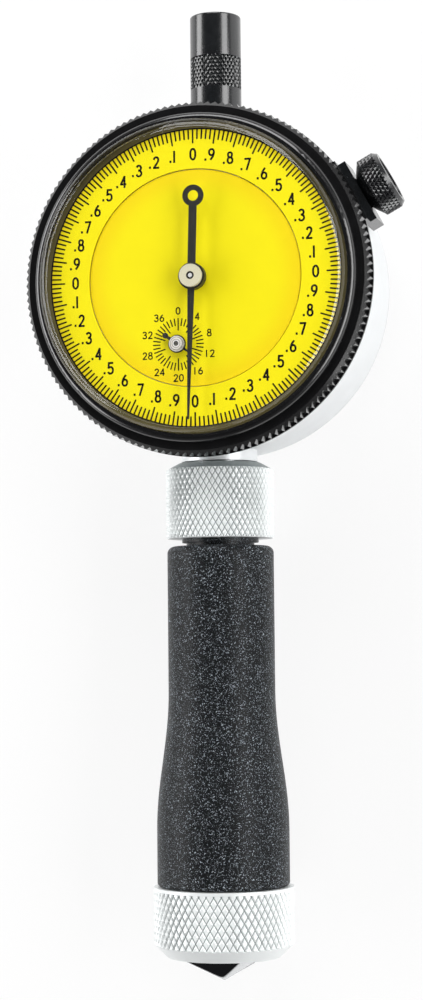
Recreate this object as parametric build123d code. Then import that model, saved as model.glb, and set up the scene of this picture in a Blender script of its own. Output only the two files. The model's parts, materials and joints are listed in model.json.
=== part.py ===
from build123d import *
import math
import os

os.makedirs("parts", exist_ok=True)

# Internal chamfer gauge, in millimetres. It lies on its back: the plunger axis is Y, with the point
# towards -Y, and the dial faces +Z. The origin is the centre of the anvil's flat measuring face.

# The gauge's law: a cone whose radius grows 2 mm for each millimetre of depth reads the chamfer's
# diameter, and one turn of the long hand is one millimetre of plunger travel. The indicator isn't
# set to zero in its collet, so the point stands out further than the reading at rest says.
cone_slope = 2.0
travel_per_turn = 1.0
travel_per_counter_turn = 10.0
rest_reading = 13.98
rest_projection = 3.94

# Clearances
running = 0.05
loose = 0.15
seat_gap = 0.1

# Anvil, the knurled nose with the flat measuring face round the plunger
anvil_face_width = 1.18
anvil_chamfer_width = 2.15
anvil_chamfer_depth = 2.1
anvil_length = 11.3
anvil_spigot_wall = 0.85
anvil_spigot_length = 7.7

# Plunger and its rod
plunger_radius = 8.1
plunger_tip_radius = 0.12
plunger_back = 9.0
flute_count = 3
land_half_angle = 8.0
flute_waist = 0.81
land_azimuth = 46.3
rod_radius = 3.0
rod_spigot_radius = 2.0
rod_spigot_length = 5.0
rod_pad_radius = 1.5
rod_pad_height = 1.0
stop_ring_radius = 3.85
stop_ring_thickness = 0.9

# Plunger return spring
plunger_spring_radius = 5.2
plunger_spring_wire = 0.8
plunger_spring_turns = 6

# Handle
handle_foot_step = 0.63
handle_neck_radius = 8.78
handle_bottom = anvil_length + seat_gap
handle_flare_start = 20.5
handle_flare_end = 43.0
handle_top = 66.9
handle_foot_round = 0.6
handle_shoulder_round = 1.2
handle_bore_radius = 4.0
spring_room_radius = 6.6
bush_radius = 6.0
bush_bottom = 24.0
bush_length = 10.0

# Collet and its clamping collar; each wall stands round the stem's bore
collet_thread_wall = 0.7875
collet_socket_depth = 8.9
collet_neck_length = 0.6
collet_flange_step = 0.42
collet_flange_length = 0.6
collet_jaw_wall = 1.0875
collet_jaw_length = 8.3
collet_nose_wall = 0.3875
collet_nose_length = 2.1
slit_width = 0.7
slit_count = 4
slit_start = 3.0
collar_radius = 8.91
collar_chamfer_width = 2.1
collar_length = 12.42
collar_chamfer_height = 1.15
collar_foot_chamfer = 0.25
collar_roof_clearance = 0.2

# Stem and spindle of the dial indicator
stem_radius = 4.7625
stem_bore_radius = 3.0
stem_end_room = 1.0
stem_overrun = 0.4
spindle_radius = 2.38
spindle_reach = 3.0
spindle_overrun = 0.5
contact_length = 6.0
contact_radius = 2.1
contact_nose_radius = 0.9
contact_shoulder = 1.8
contact_thread_radius = 1.0
contact_thread_length = 4.0
guide_bush_length = 10.0

# Case, with the dial's centre at (0, dial_y)
bezel_overhang = 1.175
case_wall = 1.8
case_back = -7.6
case_shoulder = 11.25
neck_step = 1.5
neck_wall = 1.5
shoulder_wall = 0.45
front_wall = 0.95
dial_seat_drop = 0.2
dial_seat_gap = 0.4
cover_thickness = 1.0
cover_rim_chamfer = 0.4
stem_boss_wall = 1.5375
stem_boss_gap = 0.23
stem_boss_length = 1.2
cap_boss_radius = 4.9
cap_boss_length = 0.1
screw_boss_radius = 2.3
screw_boss_inset = 3.2
screw_boss_top = -1.0
cover_screw_count = 4
cover_screw_head_radius = 1.7
cover_screw_shank_radius = 0.9
cover_screw_length = 5.0
driver_slot_width = 0.4
driver_slot_depth = 0.35

# Upper bushing and spindle cap
upper_bush_radius = 3.2
upper_bush_depth = 3.3
upper_bush_height = 9.1
cap_radius = 4.24
cap_round = 0.3
cap_bore_radius = 2.75
cap_thread_margin = 1.0
cap_room = 1.96
cap_roof = 3.0

# Bezel, turned by hand about the case's neck; its steps go inwards from its radius
bezel_radius = 28.575
bezel_lift = 0.15
bezel_height = 3.8
bezel_rim_lift = 0.55
serration_count = 148
serration_depth = 0.5
serration_chamfer = 0.8
bezel_rim_width = 2.075
lip_step = 0.7
lip_height = 1.35
lip_width = 0.5
lip_swell_inset = 0.12
lip_swell_rise = 0.25
shelf_width = 1.7
shelf_lift = 2.35
shelf_thickness = 0.8
ring_wire_radius = 0.3
ring_wire_lift = 1.2
ring_groove_half_height = 0.35
ring_groove_depth = 0.3
bezel_groove_depth = 0.4

# Crystal and dials
crystal_wall = 0.75
crystal_gap = 0.3
crystal_thickness = 1.1
crystal_shoulder = 1.6
crystal_inner_shoulder = 0.8
dial_thickness = 0.5
inner_dial_radius = 17.45
dial_hole_radius = 0.95

# Gear train
tooth_module = 0.2
pressure_angle = math.radians(25)
addendum_share = 0.8
dedendum_share = 1.0
tooth_thinning = 0.02
rack_pinion_teeth = 16
rack_gap_count = 15
rack_gaps_below = 10
main_teeth = 100
centre_teeth = 10
takeup_teeth = 60
counter_offset_x = -2.75
takeup_angle = 65.0
main_gear_bottom = 5.6
main_gear_thickness = 0.6
takeup_gear_bottom = 4.95
takeup_gear_thickness = 0.5
centre_pinion_bottom = 4.8
centre_pinion_length = 1.7
rack_pinion_half_length = 1.4
arbor_radius = 0.6
pivot_radius = 0.4
spoke_count = 4
spoke_width = 1.4
gear_rim = 1.3
gear_boss_radius = 2.0

# Movement frame
plate_radius = 18.2
lower_plate_bottom = 3.0
lower_plate_thickness = 1.0
upper_plate_thickness = 1.2
plate_flat = 15.8
pillar_radius = 1.5
pillar_places = ((-14.5, 2.0), (13.5, -7.0), (8.5, 14.5))
pillar_screw_radius = 0.7
pillar_screw_head_radius = 1.4
pillar_screw_head_height = 0.8
pillar_screw_depth = 2.0
mount_screw_head_radius = 1.5
mount_screw_head_height = 1.0
arbor_bush_radius = 1.1
bridge_top = -2.6
bridge_thickness = 1.0
bridge_reach = -1.3
bridge_end = -11.0
bridge_foot_inner = -8.0
bridge_half_width = 2.4
bridge_screw_offset = 1.2
bridge_screw_radius = 0.6
bridge_screw_head_radius = 0.95
bridge_screw_head_height = 0.6
bridge_screw_x = -9.5

# Spindle pins, return spring and hairspring
pin_radius = 0.6
guide_pin_y = 12.5
guide_pin_top = 3.9
guide_pin_root = -1.5
guide_slot_margin = 0.1
spring_pin_y = 6.0
spring_pin_root = 1.0
spring_x = 6.2
spring_pin_end = 6.9
post_y = -14.5
post_bottom = -1.3
post_radius = 0.7
return_spring_radius = 1.2
return_spring_wire = 0.4
return_spring_turns = 11
hairspring_inner = 1.02
hairspring_outer = 3.5
hairspring_turns = 4
hairspring_strip = 0.14
hairspring_bottom = 8.2
hairspring_height = 0.6
hairspring_steps = 20
hair_collet_radius = 0.95
hair_collet_margin = 0.2
stud_size = 0.8

# Hands
hand_gap = 0.35
hand_thickness = 0.2
hand_tip_room = 2.3
hand_tail_ring_y = 12.9
hand_ring_radius = 1.74
hand_ring_hole = 0.87
hand_root_width = 1.2
hand_tip_width = 0.3
hand_tail_width = 1.3
hand_boss_radius = 2.15
hand_boss_lift = 0.35
hub_disc_radius = 1.83
hub_disc_height = 0.7
hub_well_radius = 0.62
hub_well_depth = 0.25
arbor_tip_radius = 0.4
counter_hand_lift = 0.65
counter_hand_thickness = 0.15
counter_hand_length = 4.2
counter_hand_width = 0.5
counter_hand_tip_width = 0.12
counter_tail = 2.4
counter_bob_radius = 0.47
counter_disc_radius = 1.45
counter_hub_radius = 1.25
counter_hub_height = 0.6
counter_hub_step = 0.25
counter_hub_step_radius = 0.85

# Bezel clamp
clamp_angle = 28.2
clamp_height = 5.0
clamp_gap = 0.05
clamp_thickness = 2.0
clamp_length = 10.8
clamp_width = 6.4
clamp_lip_thickness = 0.85
clamp_lip_gap = 0.1
thumb_thread_radius = 1.5
thumb_thread_depth = 4.5
thumb_boss_radius = 2.6
thumb_taper_start = 0.3
thumb_taper_radius = 3.2
thumb_radius = 4.97
thumb_taper_length = 1.5
thumb_knurl_length = 2.6
thumb_face_radius = 4.4
thumb_face_chamfer = 0.8
thumb_dish_radius = 3.6
thumb_dish_depth = 0.25

# Worked-out radii
anvil_bore = plunger_radius + running
anvil_face_radius = anvil_bore + anvil_face_width
anvil_radius = anvil_face_radius + anvil_chamfer_width
anvil_spigot_radius = anvil_bore + anvil_spigot_wall
handle_base_radius = anvil_radius - handle_foot_step
handle_counterbore = anvil_spigot_radius + running
collet_bore = stem_radius + running
collet_thread_radius = collet_bore + collet_thread_wall
collet_jaw_radius = collet_bore + collet_jaw_wall
collet_nose_radius = collet_bore + collet_nose_wall
collet_flange_radius = collet_jaw_radius + collet_flange_step
collar_face_radius = collar_radius - collar_chamfer_width
stem_boss_radius = stem_radius + stem_boss_wall
case_radius = bezel_radius - bezel_overhang
neck_radius = case_radius - neck_step
screw_boss_circle = case_radius - screw_boss_inset
bezel_step_radius = bezel_radius - bezel_rim_width
lip_radius = bezel_step_radius - lip_step
lip_bore_radius = lip_radius - lip_width
shelf_radius = lip_bore_radius - shelf_width
dial_seat_radius = shelf_radius - dial_seat_gap
dial_window_radius = inner_dial_radius + loose
crystal_radius = lip_bore_radius - seat_gap
hand_length = crystal_radius - hand_tip_room

# Worked-out places along the plunger axis
collar_bottom = handle_top + collet_neck_length + collet_flange_length + running
collar_top = collar_bottom + collar_length
stem_bottom = handle_top - collet_socket_depth + stem_end_room
spindle_bottom = stem_bottom - spindle_reach
rod_top = spindle_bottom - contact_length - rod_pad_height
stem_boss_bottom = collar_top + stem_boss_gap
dial_y = stem_boss_bottom + stem_boss_length + case_radius
stem_top = dial_y - case_radius + case_wall + stem_overrun
cap_seat = dial_y + case_radius + cap_boss_length
upper_bush_bottom = cap_seat - upper_bush_depth
upper_bush_top = cap_seat + upper_bush_height
spindle_top = upper_bush_top + spindle_overrun
cap_thread_top = upper_bush_top + cap_thread_margin
cap_bore_top = spindle_top + rest_projection + cap_room
cap_top = cap_bore_top + cap_roof

# Worked-out levels along the dial axis
cavity_step = case_shoulder - shoulder_wall
bezel_back = case_shoulder + bezel_lift
bezel_rim_back = bezel_back + bezel_rim_lift
bezel_face = bezel_back + bezel_height
lip_top = bezel_face + lip_height
shelf_bottom = bezel_back + shelf_lift
shelf_top = shelf_bottom + shelf_thickness
ring_wire_height = bezel_back + ring_wire_lift
neck_top = shelf_bottom - loose
plate_underside = neck_top - front_wall
dial_face = shelf_top + dial_thickness
dial_seat = shelf_top - dial_seat_drop
counter_hand_bottom = dial_seat + dial_thickness + counter_hand_lift
counter_hub_bottom = counter_hand_bottom + counter_hand_thickness
hand_bottom = counter_hub_bottom + counter_hub_height + hand_gap
hand_boss_bottom = dial_face + hand_boss_lift
hub_disc_bottom = hand_bottom + hand_thickness
crystal_top = hub_disc_bottom + hub_disc_height + crystal_gap + crystal_thickness

# Worked-out places of the movement
counter_distance = tooth_module * (main_teeth + centre_teeth) / 2
counter_offset_y = -math.sqrt(counter_distance**2 - counter_offset_x**2)
takeup_distance = tooth_module * (takeup_teeth + centre_teeth) / 2
takeup_x = takeup_distance * math.cos(math.radians(takeup_angle))
takeup_y = takeup_distance * math.sin(math.radians(takeup_angle))
rack_pitch = travel_per_counter_turn / rack_pinion_teeth
rack_module = rack_pitch / math.pi
rack_pitch_line = counter_offset_x + rack_pinion_teeth * rack_module / 2
lower_plate_top = lower_plate_bottom + lower_plate_thickness
upper_plate_bottom = plate_underside - upper_plate_thickness
clamp_face = case_radius + clamp_gap + clamp_thickness
read_travel = rest_reading / (2 * cone_slope)
hand_turn = 360 * read_travel / travel_per_turn
counter_turn = -360 * read_travel / travel_per_counter_turn


def section(points, rounds=()):
    """A closed flat section; each round is (corner, radius)."""
    face = make_face(Polyline(*points, close=True))
    for corner, radius in rounds:
        vertex = face.vertices().sort_by_distance(Vector(*corner))[0]
        face = fillet(vertex, radius)
    return face


def turned(points, rounds=()):
    """A turned piece on the plunger axis, from (radius, y) points."""
    return revolve(section(points, rounds), Axis.Y)


def dial_turned(points, rounds=()):
    """A turned piece on the dial axis, from (radius, z) points."""
    profile = Plane.XZ * section(points, rounds)
    return Pos(0, dial_y, 0) * revolve(profile, Axis.Z)


def tube(inner, outer, bottom, top):
    """A plain tube on the plunger axis."""
    return turned([(inner, bottom), (outer, bottom), (outer, top), (inner, top)])


def post(x, y, radius, bottom, top):
    """A round post along Z, placed from the dial's centre."""
    return Pos(x, dial_y + y, bottom) * extrude(Circle(radius), top - bottom)


def plate_disc(radius, bottom, top):
    """A round plate on the dial axis."""
    return post(0, 0, radius, bottom, top)


def screw(x, y, head_radius, head_height, shank_radius, head_face, direction, length):
    """A slotted screw along Z; direction is the way its shank points."""
    head_end = head_face + direction * head_height
    shank_end = head_end + direction * length
    head = post(x, y, head_radius, min(head_face, head_end), max(head_face, head_end))
    shank = post(x, y, shank_radius, min(head_end, shank_end), max(head_end, shank_end))
    slot = Pos(x, dial_y + y, head_face) * Box(
        2 * head_radius, driver_slot_width, 2 * driver_slot_depth
    )
    return head + shank - slot


# Handle group


def anvil_collar():
    return turned(
        [
            (anvil_bore, 0),
            (anvil_face_radius, 0),
            (anvil_radius, anvil_chamfer_depth),
            (anvil_radius, anvil_length),
            (anvil_spigot_radius, anvil_length),
            (anvil_spigot_radius, anvil_length + anvil_spigot_length),
            (anvil_bore, anvil_length + anvil_spigot_length),
        ]
    )


def lobed_section(radius, height):
    """The plunger's cross-section: three lands with shallow flutes between them."""
    pitch = 360 / flute_count
    edges = []
    for index in range(flute_count):
        centre = 90 - land_azimuth - index * pitch
        land = [centre - land_half_angle, centre, centre + land_half_angle]
        middle = centre + pitch / 2
        next_edge = centre + pitch - land_half_angle
        land_points = [polar(radius, angle) for angle in land]
        edges.append(ThreePointArc(*land_points))
        edges.append(
            ThreePointArc(land_points[2], polar(radius * flute_waist, middle), polar(radius, next_edge))
        )
    lobed = make_face(edges)
    level = Plane(origin=(0, height, 0), x_dir=(1, 0, 0), z_dir=(0, 1, 0))
    return level * mirror(lobed, about=Plane.XZ)


def polar(radius, degrees):
    return Vector(radius * math.cos(math.radians(degrees)), radius * math.sin(math.radians(degrees)))


def plunger():
    tip = -rest_projection
    cone_end = tip + (plunger_radius - plunger_tip_radius) / cone_slope
    cone = loft([lobed_section(plunger_tip_radius, tip), lobed_section(plunger_radius, cone_end)])
    body = extrude(lobed_section(plunger_radius, cone_end), plunger_back - cone_end, dir=(0, 1, 0))
    hole = tube(0, rod_spigot_radius, plunger_back - rod_spigot_length, plunger_back)
    return cone + body - hole


def plunger_rod():
    return turned(
        [
            (0, plunger_back - rod_spigot_length),
            (rod_spigot_radius, plunger_back - rod_spigot_length),
            (rod_spigot_radius, plunger_back),
            (rod_radius, plunger_back),
            (rod_radius, rod_top),
            (rod_pad_radius, rod_top),
            (rod_pad_radius, rod_top + rod_pad_height),
            (0, rod_top + rod_pad_height),
        ]
    )


def stop_ring():
    bottom = bush_bottom + bush_length
    return tube(rod_radius, stop_ring_radius, bottom, bottom + stop_ring_thickness)


def coil(radius, wire, turns, bottom, top):
    """A coil spring of square wire along Y, standing between two levels."""
    height = top - bottom - wire
    helix = Helix(height / turns, height, radius)
    wire_section = Plane(origin=helix @ 0, z_dir=helix % 0) * Rectangle(wire, wire)
    spring = sweep(wire_section, path=helix, is_frenet=True)
    return Pos(0, bottom + wire / 2, 0) * (Rot(-90, 0, 0) * spring)


def plunger_spring():
    return coil(
        plunger_spring_radius,
        plunger_spring_wire,
        plunger_spring_turns,
        plunger_back + seat_gap,
        bush_bottom - seat_gap,
    )


def plunger_bush():
    return tube(rod_radius + running, bush_radius, bush_bottom, bush_bottom + bush_length)


def handle():
    flare = Spline(
        (handle_base_radius, handle_flare_start),
        (handle_neck_radius, handle_flare_end),
        tangents=((0, 1), (0, 1)),
    )
    spigot_end = anvil_length + anvil_spigot_length + seat_gap
    inside = [
        (handle_neck_radius, handle_flare_end),
        (handle_neck_radius, handle_top),
        (collet_thread_radius + running, handle_top),
        (collet_thread_radius + running, handle_top - collet_socket_depth),
        (handle_bore_radius, handle_top - collet_socket_depth),
        (handle_bore_radius, bush_bottom + bush_length),
        (bush_radius, bush_bottom + bush_length),
        (bush_radius, bush_bottom),
        (spring_room_radius, bush_bottom),
        (spring_room_radius, spigot_end),
        (handle_counterbore, spigot_end),
        (handle_counterbore, handle_bottom),
        (handle_base_radius, handle_bottom),
        (handle_base_radius, handle_flare_start),
    ]
    profile = make_face([flare, Polyline(*inside)])
    foot = profile.vertices().sort_by_distance(Vector(handle_base_radius, handle_bottom))[0]
    profile = fillet(foot, handle_foot_round)
    shoulder = profile.vertices().sort_by_distance(Vector(handle_neck_radius, handle_top))[0]
    profile = fillet(shoulder, handle_shoulder_round)
    return revolve(profile, Axis.Y)


# Collet group


def collet():
    bottom = handle_top - collet_socket_depth
    flange_bottom = handle_top + collet_neck_length
    flange_top = flange_bottom + collet_flange_length
    jaw_top = flange_top + collet_jaw_length
    nose_top = jaw_top + collet_nose_length
    body = turned(
        [
            (collet_bore, bottom),
            (collet_thread_radius, bottom),
            (collet_thread_radius, flange_bottom),
            (collet_flange_radius, flange_bottom),
            (collet_flange_radius, flange_top),
            (collet_jaw_radius, flange_top),
            (collet_jaw_radius, jaw_top),
            (collet_nose_radius, nose_top),
            (collet_bore, nose_top),
        ]
    )
    slit_bottom = flange_top + slit_start
    slit_height = nose_top - slit_bottom
    middle = (slit_bottom + nose_top) / 2
    for index in range(slit_count):
        angle = (index + 0.5) * 360 / slit_count
        cutter = Pos(collet_jaw_radius, middle, 0) * Box(
            collet_jaw_radius, slit_height, slit_width
        )
        body -= Rot(0, angle, 0) * cutter
    return body


def clamp_collar():
    jaw = collet_jaw_radius + running
    nose = collet_nose_radius + running
    flange_top = handle_top + collet_neck_length + collet_flange_length
    jaw_top = flange_top + collet_jaw_length
    nose_top = jaw_top + collet_nose_length
    mouth = stem_radius + collar_roof_clearance
    return turned(
        [
            (jaw, collar_bottom),
            (collar_radius - collar_foot_chamfer, collar_bottom),
            (collar_radius, collar_bottom + collar_foot_chamfer),
            (collar_radius, collar_top - collar_chamfer_height),
            (collar_face_radius, collar_top),
            (mouth, collar_top),
            (mouth, nose_top + seat_gap),
            (nose, nose_top + seat_gap),
            (nose, nose_top),
            (jaw, jaw_top),
        ]
    )


# Dial indicator: stem, spindle and case


def stem():
    return tube(stem_bore_radius, stem_radius, stem_bottom, stem_top)


def lower_bushing():
    return tube(spindle_radius + running, stem_bore_radius, stem_bottom, stem_bottom + guide_bush_length)


def upper_bushing():
    return tube(spindle_radius + running, upper_bush_radius, upper_bush_bottom, upper_bush_top)


def contact_point():
    bottom = spindle_bottom - contact_length
    return turned(
        [
            (0, bottom),
            (contact_nose_radius, bottom),
            (contact_radius, bottom + contact_shoulder),
            (contact_radius, spindle_bottom),
            (contact_thread_radius, spindle_bottom),
            (contact_thread_radius, spindle_bottom + contact_thread_length),
            (0, spindle_bottom + contact_thread_length),
        ]
    )


def rack_gap(y):
    """The outline of one gap between two rack teeth."""
    addendum = addendum_share * rack_module
    dedendum = dedendum_share * rack_module
    half_gap = rack_pitch / 4 + tooth_thinning / 2
    flare_out = addendum * math.tan(pressure_angle)
    flare_in = dedendum * math.tan(pressure_angle)
    outer_x = rack_pitch_line - addendum
    inner_x = rack_pitch_line + dedendum
    return section(
        [
            (outer_x, y - half_gap - flare_out),
            (inner_x, y - half_gap + flare_in),
            (inner_x, y + half_gap - flare_in),
            (outer_x, y + half_gap + flare_out),
        ]
    )


def rack_spindle():
    shaft = tube(0, spindle_radius, spindle_bottom, spindle_top)
    shaft -= tube(0, contact_thread_radius, spindle_bottom, spindle_bottom + contact_thread_length)
    rack_middle = dial_y + counter_offset_y - rest_projection / 2
    rack_length = (rack_gap_count + 1) * rack_pitch
    flat_x = rack_pitch_line - addendum_share * rack_module
    flat_depth = spindle_radius + flat_x
    shaft -= Pos(-spindle_radius + flat_depth / 2, rack_middle, 0) * Box(
        flat_depth, rack_length, 2 * spindle_radius
    )
    first_gap = dial_y + counter_offset_y - rack_gaps_below * rack_pitch
    gaps = Sketch() + [rack_gap(first_gap + index * rack_pitch) for index in range(rack_gap_count)]
    shaft -= Pos(0, 0, -spindle_radius) * extrude(gaps, 2 * spindle_radius)
    shaft -= guide_pin()
    shaft -= spring_pin()
    return shaft


def guide_pin():
    return post(0, guide_pin_y, pin_radius, guide_pin_root, guide_pin_top)


def spring_pin():
    pin = Rot(0, 90, 0) * extrude(Circle(pin_radius), spring_pin_end - spring_pin_root)
    return Pos(spring_pin_root, dial_y + spring_pin_y, 0) * pin


def case_shell():
    outside = [
        (0, case_back),
        (case_radius, case_back),
        (case_radius, case_shoulder),
        (neck_radius, case_shoulder),
        (neck_radius, ring_wire_height - ring_groove_half_height),
        (neck_radius - ring_groove_depth, ring_wire_height - ring_groove_half_height),
        (neck_radius - ring_groove_depth, ring_wire_height + ring_groove_half_height),
        (neck_radius, ring_wire_height + ring_groove_half_height),
        (neck_radius, neck_top),
        (dial_seat_radius, neck_top),
        (dial_seat_radius, dial_seat),
        (0, dial_seat),
    ]
    cavity = [
        (0, case_back),
        (case_radius - case_wall, case_back),
        (case_radius - case_wall, cavity_step),
        (neck_radius - neck_wall, cavity_step),
        (neck_radius - neck_wall, plate_underside),
        (0, plate_underside),
    ]
    return dial_turned(outside), dial_turned(cavity)


def case():
    outside, cavity = case_shell()
    outside += tube(0, stem_boss_radius, stem_boss_bottom, dial_y - case_radius + case_wall)
    outside += tube(0, cap_boss_radius, dial_y + case_radius - case_wall, cap_seat)
    body = outside - cavity
    for x, y in cover_screw_places():
        body += cavity & post(x, y, screw_boss_radius, case_back, screw_boss_top)
        body -= post(x, y, cover_screw_shank_radius, case_back, screw_boss_top)
    body -= tube(0, stem_radius, stem_boss_bottom, dial_y)
    body -= tube(0, upper_bush_radius, dial_y, cap_seat)
    body -= post(0, 0, arbor_radius + loose, plate_underside, dial_seat)
    body -= post(counter_offset_x, counter_offset_y, arbor_radius + loose, plate_underside, dial_seat)
    for x, y in pillar_places:
        body -= post(x, y, pillar_screw_radius, plate_underside, dial_seat)
        body -= post(x, y, mount_screw_head_radius, dial_seat - mount_screw_head_height, dial_seat)
    thread = extrude(Circle(thumb_thread_radius + running), 2 * thumb_thread_depth)
    return body - along_clamp(thread, case_radius - thumb_thread_depth)


def cover_screw_places():
    step = 360 / cover_screw_count
    places = []
    for index in range(cover_screw_count):
        spot = polar(screw_boss_circle, step / 2 + index * step)
        places.append((spot.X, spot.Y))
    return places


def back_cover():
    bottom = case_back - cover_thickness
    cover = dial_turned(
        [
            (0, bottom),
            (case_radius - cover_rim_chamfer, bottom),
            (case_radius, bottom + cover_rim_chamfer),
            (case_radius, case_back),
            (0, case_back),
        ]
    )
    for x, y in cover_screw_places():
        cover -= post(x, y, cover_screw_head_radius + running, bottom, bottom + cover_thickness / 2)
        cover -= post(x, y, cover_screw_shank_radius + running, bottom, case_back)
    return cover


def back_screws():
    bottom = case_back - cover_thickness
    return Compound(
        children=[
            screw(
                x,
                y,
                cover_screw_head_radius,
                cover_thickness / 2,
                cover_screw_shank_radius,
                bottom,
                1,
                cover_screw_length,
            )
            for x, y in cover_screw_places()
        ]
    )


def top_cap():
    return turned(
        [
            (upper_bush_radius + running, cap_seat),
            (cap_radius, cap_seat),
            (cap_radius, cap_top),
            (0, cap_top),
            (0, cap_bore_top),
            (cap_bore_radius, cap_bore_top),
            (cap_bore_radius, cap_thread_top),
            (upper_bush_radius + running, cap_thread_top),
        ],
        rounds=[((cap_radius, cap_top), cap_round)],
    )


# Bezel, crystal and dials


def serrated_rim():
    """The gripping rim: a ring of V-shaped serrations with a chamfered front."""
    points = []
    step = 2 * math.pi / serration_count
    for index in range(serration_count):
        tip = index * step
        valley = tip + step / 2
        low = bezel_radius - serration_depth
        points.append((bezel_radius * math.cos(tip), bezel_radius * math.sin(tip)))
        points.append((low * math.cos(valley), low * math.sin(valley)))
    star = make_face(Polyline(*points, close=True)) - Circle(bezel_step_radius)
    rim = Pos(0, dial_y, bezel_rim_back) * extrude(star, bezel_face - bezel_rim_back)
    envelope = dial_turned(
        [
            (bezel_step_radius, bezel_rim_back),
            (bezel_radius + loose, bezel_rim_back),
            (bezel_radius + loose, bezel_face - serration_chamfer - loose),
            (bezel_radius - serration_chamfer, bezel_face),
            (bezel_step_radius, bezel_face),
        ]
    )
    return rim & envelope


def bezel():
    bore = neck_radius + loose
    ring_low = ring_wire_height - ring_groove_half_height
    ring_high = ring_wire_height + ring_groove_half_height
    points = [
        (bore, bezel_back),
        (bezel_radius, bezel_back),
        (bezel_radius, bezel_rim_back),
        (bezel_step_radius, bezel_rim_back),
        (bezel_step_radius, bezel_face),
        (lip_radius, lip_top),
        (lip_bore_radius, lip_top),
        (lip_bore_radius, shelf_top),
        (shelf_radius, shelf_top),
        (shelf_radius, shelf_bottom),
        (bore, shelf_bottom),
        (bore, ring_high),
        (bore + bezel_groove_depth, ring_high),
        (bore + bezel_groove_depth, ring_low),
        (bore, ring_low),
    ]
    start = points.index((bezel_step_radius, bezel_face))
    swell = ThreePointArc(
        points[start],
        (bezel_step_radius - lip_swell_inset, (bezel_face + lip_top) / 2 + lip_swell_rise),
        points[start + 1],
    )
    rest = Polyline(*(points[start + 1 :] + points[: start + 1]))
    profile = Plane.XZ * make_face([swell, rest])
    ring = Pos(0, dial_y, 0) * revolve(profile, Axis.Z)
    return ring + serrated_rim()


def bezel_spring():
    wire = Plane.XZ * (Pos(neck_radius + loose / 2, ring_wire_height) * Circle(ring_wire_radius))
    return Pos(0, dial_y, 0) * revolve(wire, Axis.Z)


def crystal():
    inner = crystal_radius - crystal_wall
    ceiling = crystal_top - crystal_thickness
    return dial_turned(
        [
            (inner, dial_face),
            (crystal_radius, dial_face),
            (crystal_radius, crystal_top),
            (0, crystal_top),
            (0, ceiling),
            (inner, ceiling),
        ],
        rounds=[
            ((crystal_radius, crystal_top), crystal_shoulder),
            ((inner, ceiling), crystal_inner_shoulder),
        ],
    )


def dial_ring():
    return dial_turned(
        [
            (dial_window_radius, shelf_top),
            (crystal_radius, shelf_top),
            (crystal_radius, dial_face),
            (dial_window_radius, dial_face),
        ]
    )


def inner_dial():
    disc = plate_disc(inner_dial_radius, dial_seat, dial_seat + dial_thickness)
    disc -= post(0, 0, dial_hole_radius, dial_seat, dial_face)
    return disc - post(counter_offset_x, counter_offset_y, dial_hole_radius, dial_seat, dial_face)


# Gear train


def involute(angle):
    return math.tan(angle) - angle


def gear_face(teeth, module, phase):
    """An involute gear's outline; phase is the direction of one tooth's centre."""
    pitch_radius = teeth * module / 2
    base_radius = pitch_radius * math.cos(pressure_angle)
    tip_radius = pitch_radius + addendum_share * module
    root_radius = pitch_radius - dedendum_share * module
    radii = [root_radius]
    if base_radius > root_radius:
        radii.append(base_radius)
    radii.append(tip_radius)
    half_tooth = math.pi / (2 * teeth) - tooth_thinning / (2 * pitch_radius)
    flank = []
    for radius in radii:
        roll = math.acos(min(1.0, base_radius / radius))
        flank.append((radius, half_tooth + involute(pressure_angle) - involute(roll)))
    points = []
    for index in range(teeth):
        centre = phase + 2 * math.pi * index / teeth
        for radius, half in flank:
            points.append((radius * math.cos(centre - half), radius * math.sin(centre - half)))
        for radius, half in reversed(flank):
            points.append((radius * math.cos(centre + half), radius * math.sin(centre + half)))
    return make_face(Polyline(*points, close=True))


def mesh_phases():
    """The tooth directions that put every pair in mesh at rest."""
    to_centre = math.atan2(-counter_offset_y, -counter_offset_x)
    main_phase = to_centre
    centre_phase = to_centre + math.pi + math.pi / centre_teeth
    takeup_way = math.radians(takeup_angle)
    tooth_pitch = 2 * math.pi / centre_teeth
    lead = (centre_phase - takeup_way) % tooth_pitch
    takeup_phase = takeup_way + math.pi - lead * centre_teeth / takeup_teeth + math.pi / takeup_teeth
    return main_phase, centre_phase, takeup_phase


def spoked_gear(teeth, phase, x, y, bottom, thickness, bore, rim, boss, spokes):
    face = gear_face(teeth, tooth_module, phase)
    rim_radius = teeth * tooth_module / 2 - rim
    windows = Circle(rim_radius) - Circle(boss)
    for index in range(spokes):
        windows -= Rot(0, 0, (index + 0.5) * 360 / spokes) * (
            Pos(rim_radius / 2, 0) * Rectangle(rim_radius, spoke_width)
        )
    face = face - windows - Circle(bore)
    return Pos(x, dial_y + y, bottom) * extrude(face, thickness)


def main_gear():
    main_phase, _, _ = mesh_phases()
    return spoked_gear(
        main_teeth,
        main_phase,
        counter_offset_x,
        counter_offset_y,
        main_gear_bottom,
        main_gear_thickness,
        arbor_radius,
        gear_rim,
        gear_boss_radius,
        spoke_count,
    )


def takeup_gear():
    _, _, takeup_phase = mesh_phases()
    return spoked_gear(
        takeup_teeth,
        takeup_phase,
        takeup_x,
        takeup_y,
        takeup_gear_bottom,
        takeup_gear_thickness,
        arbor_radius,
        gear_rim,
        gear_boss_radius,
        spoke_count,
    )


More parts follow.
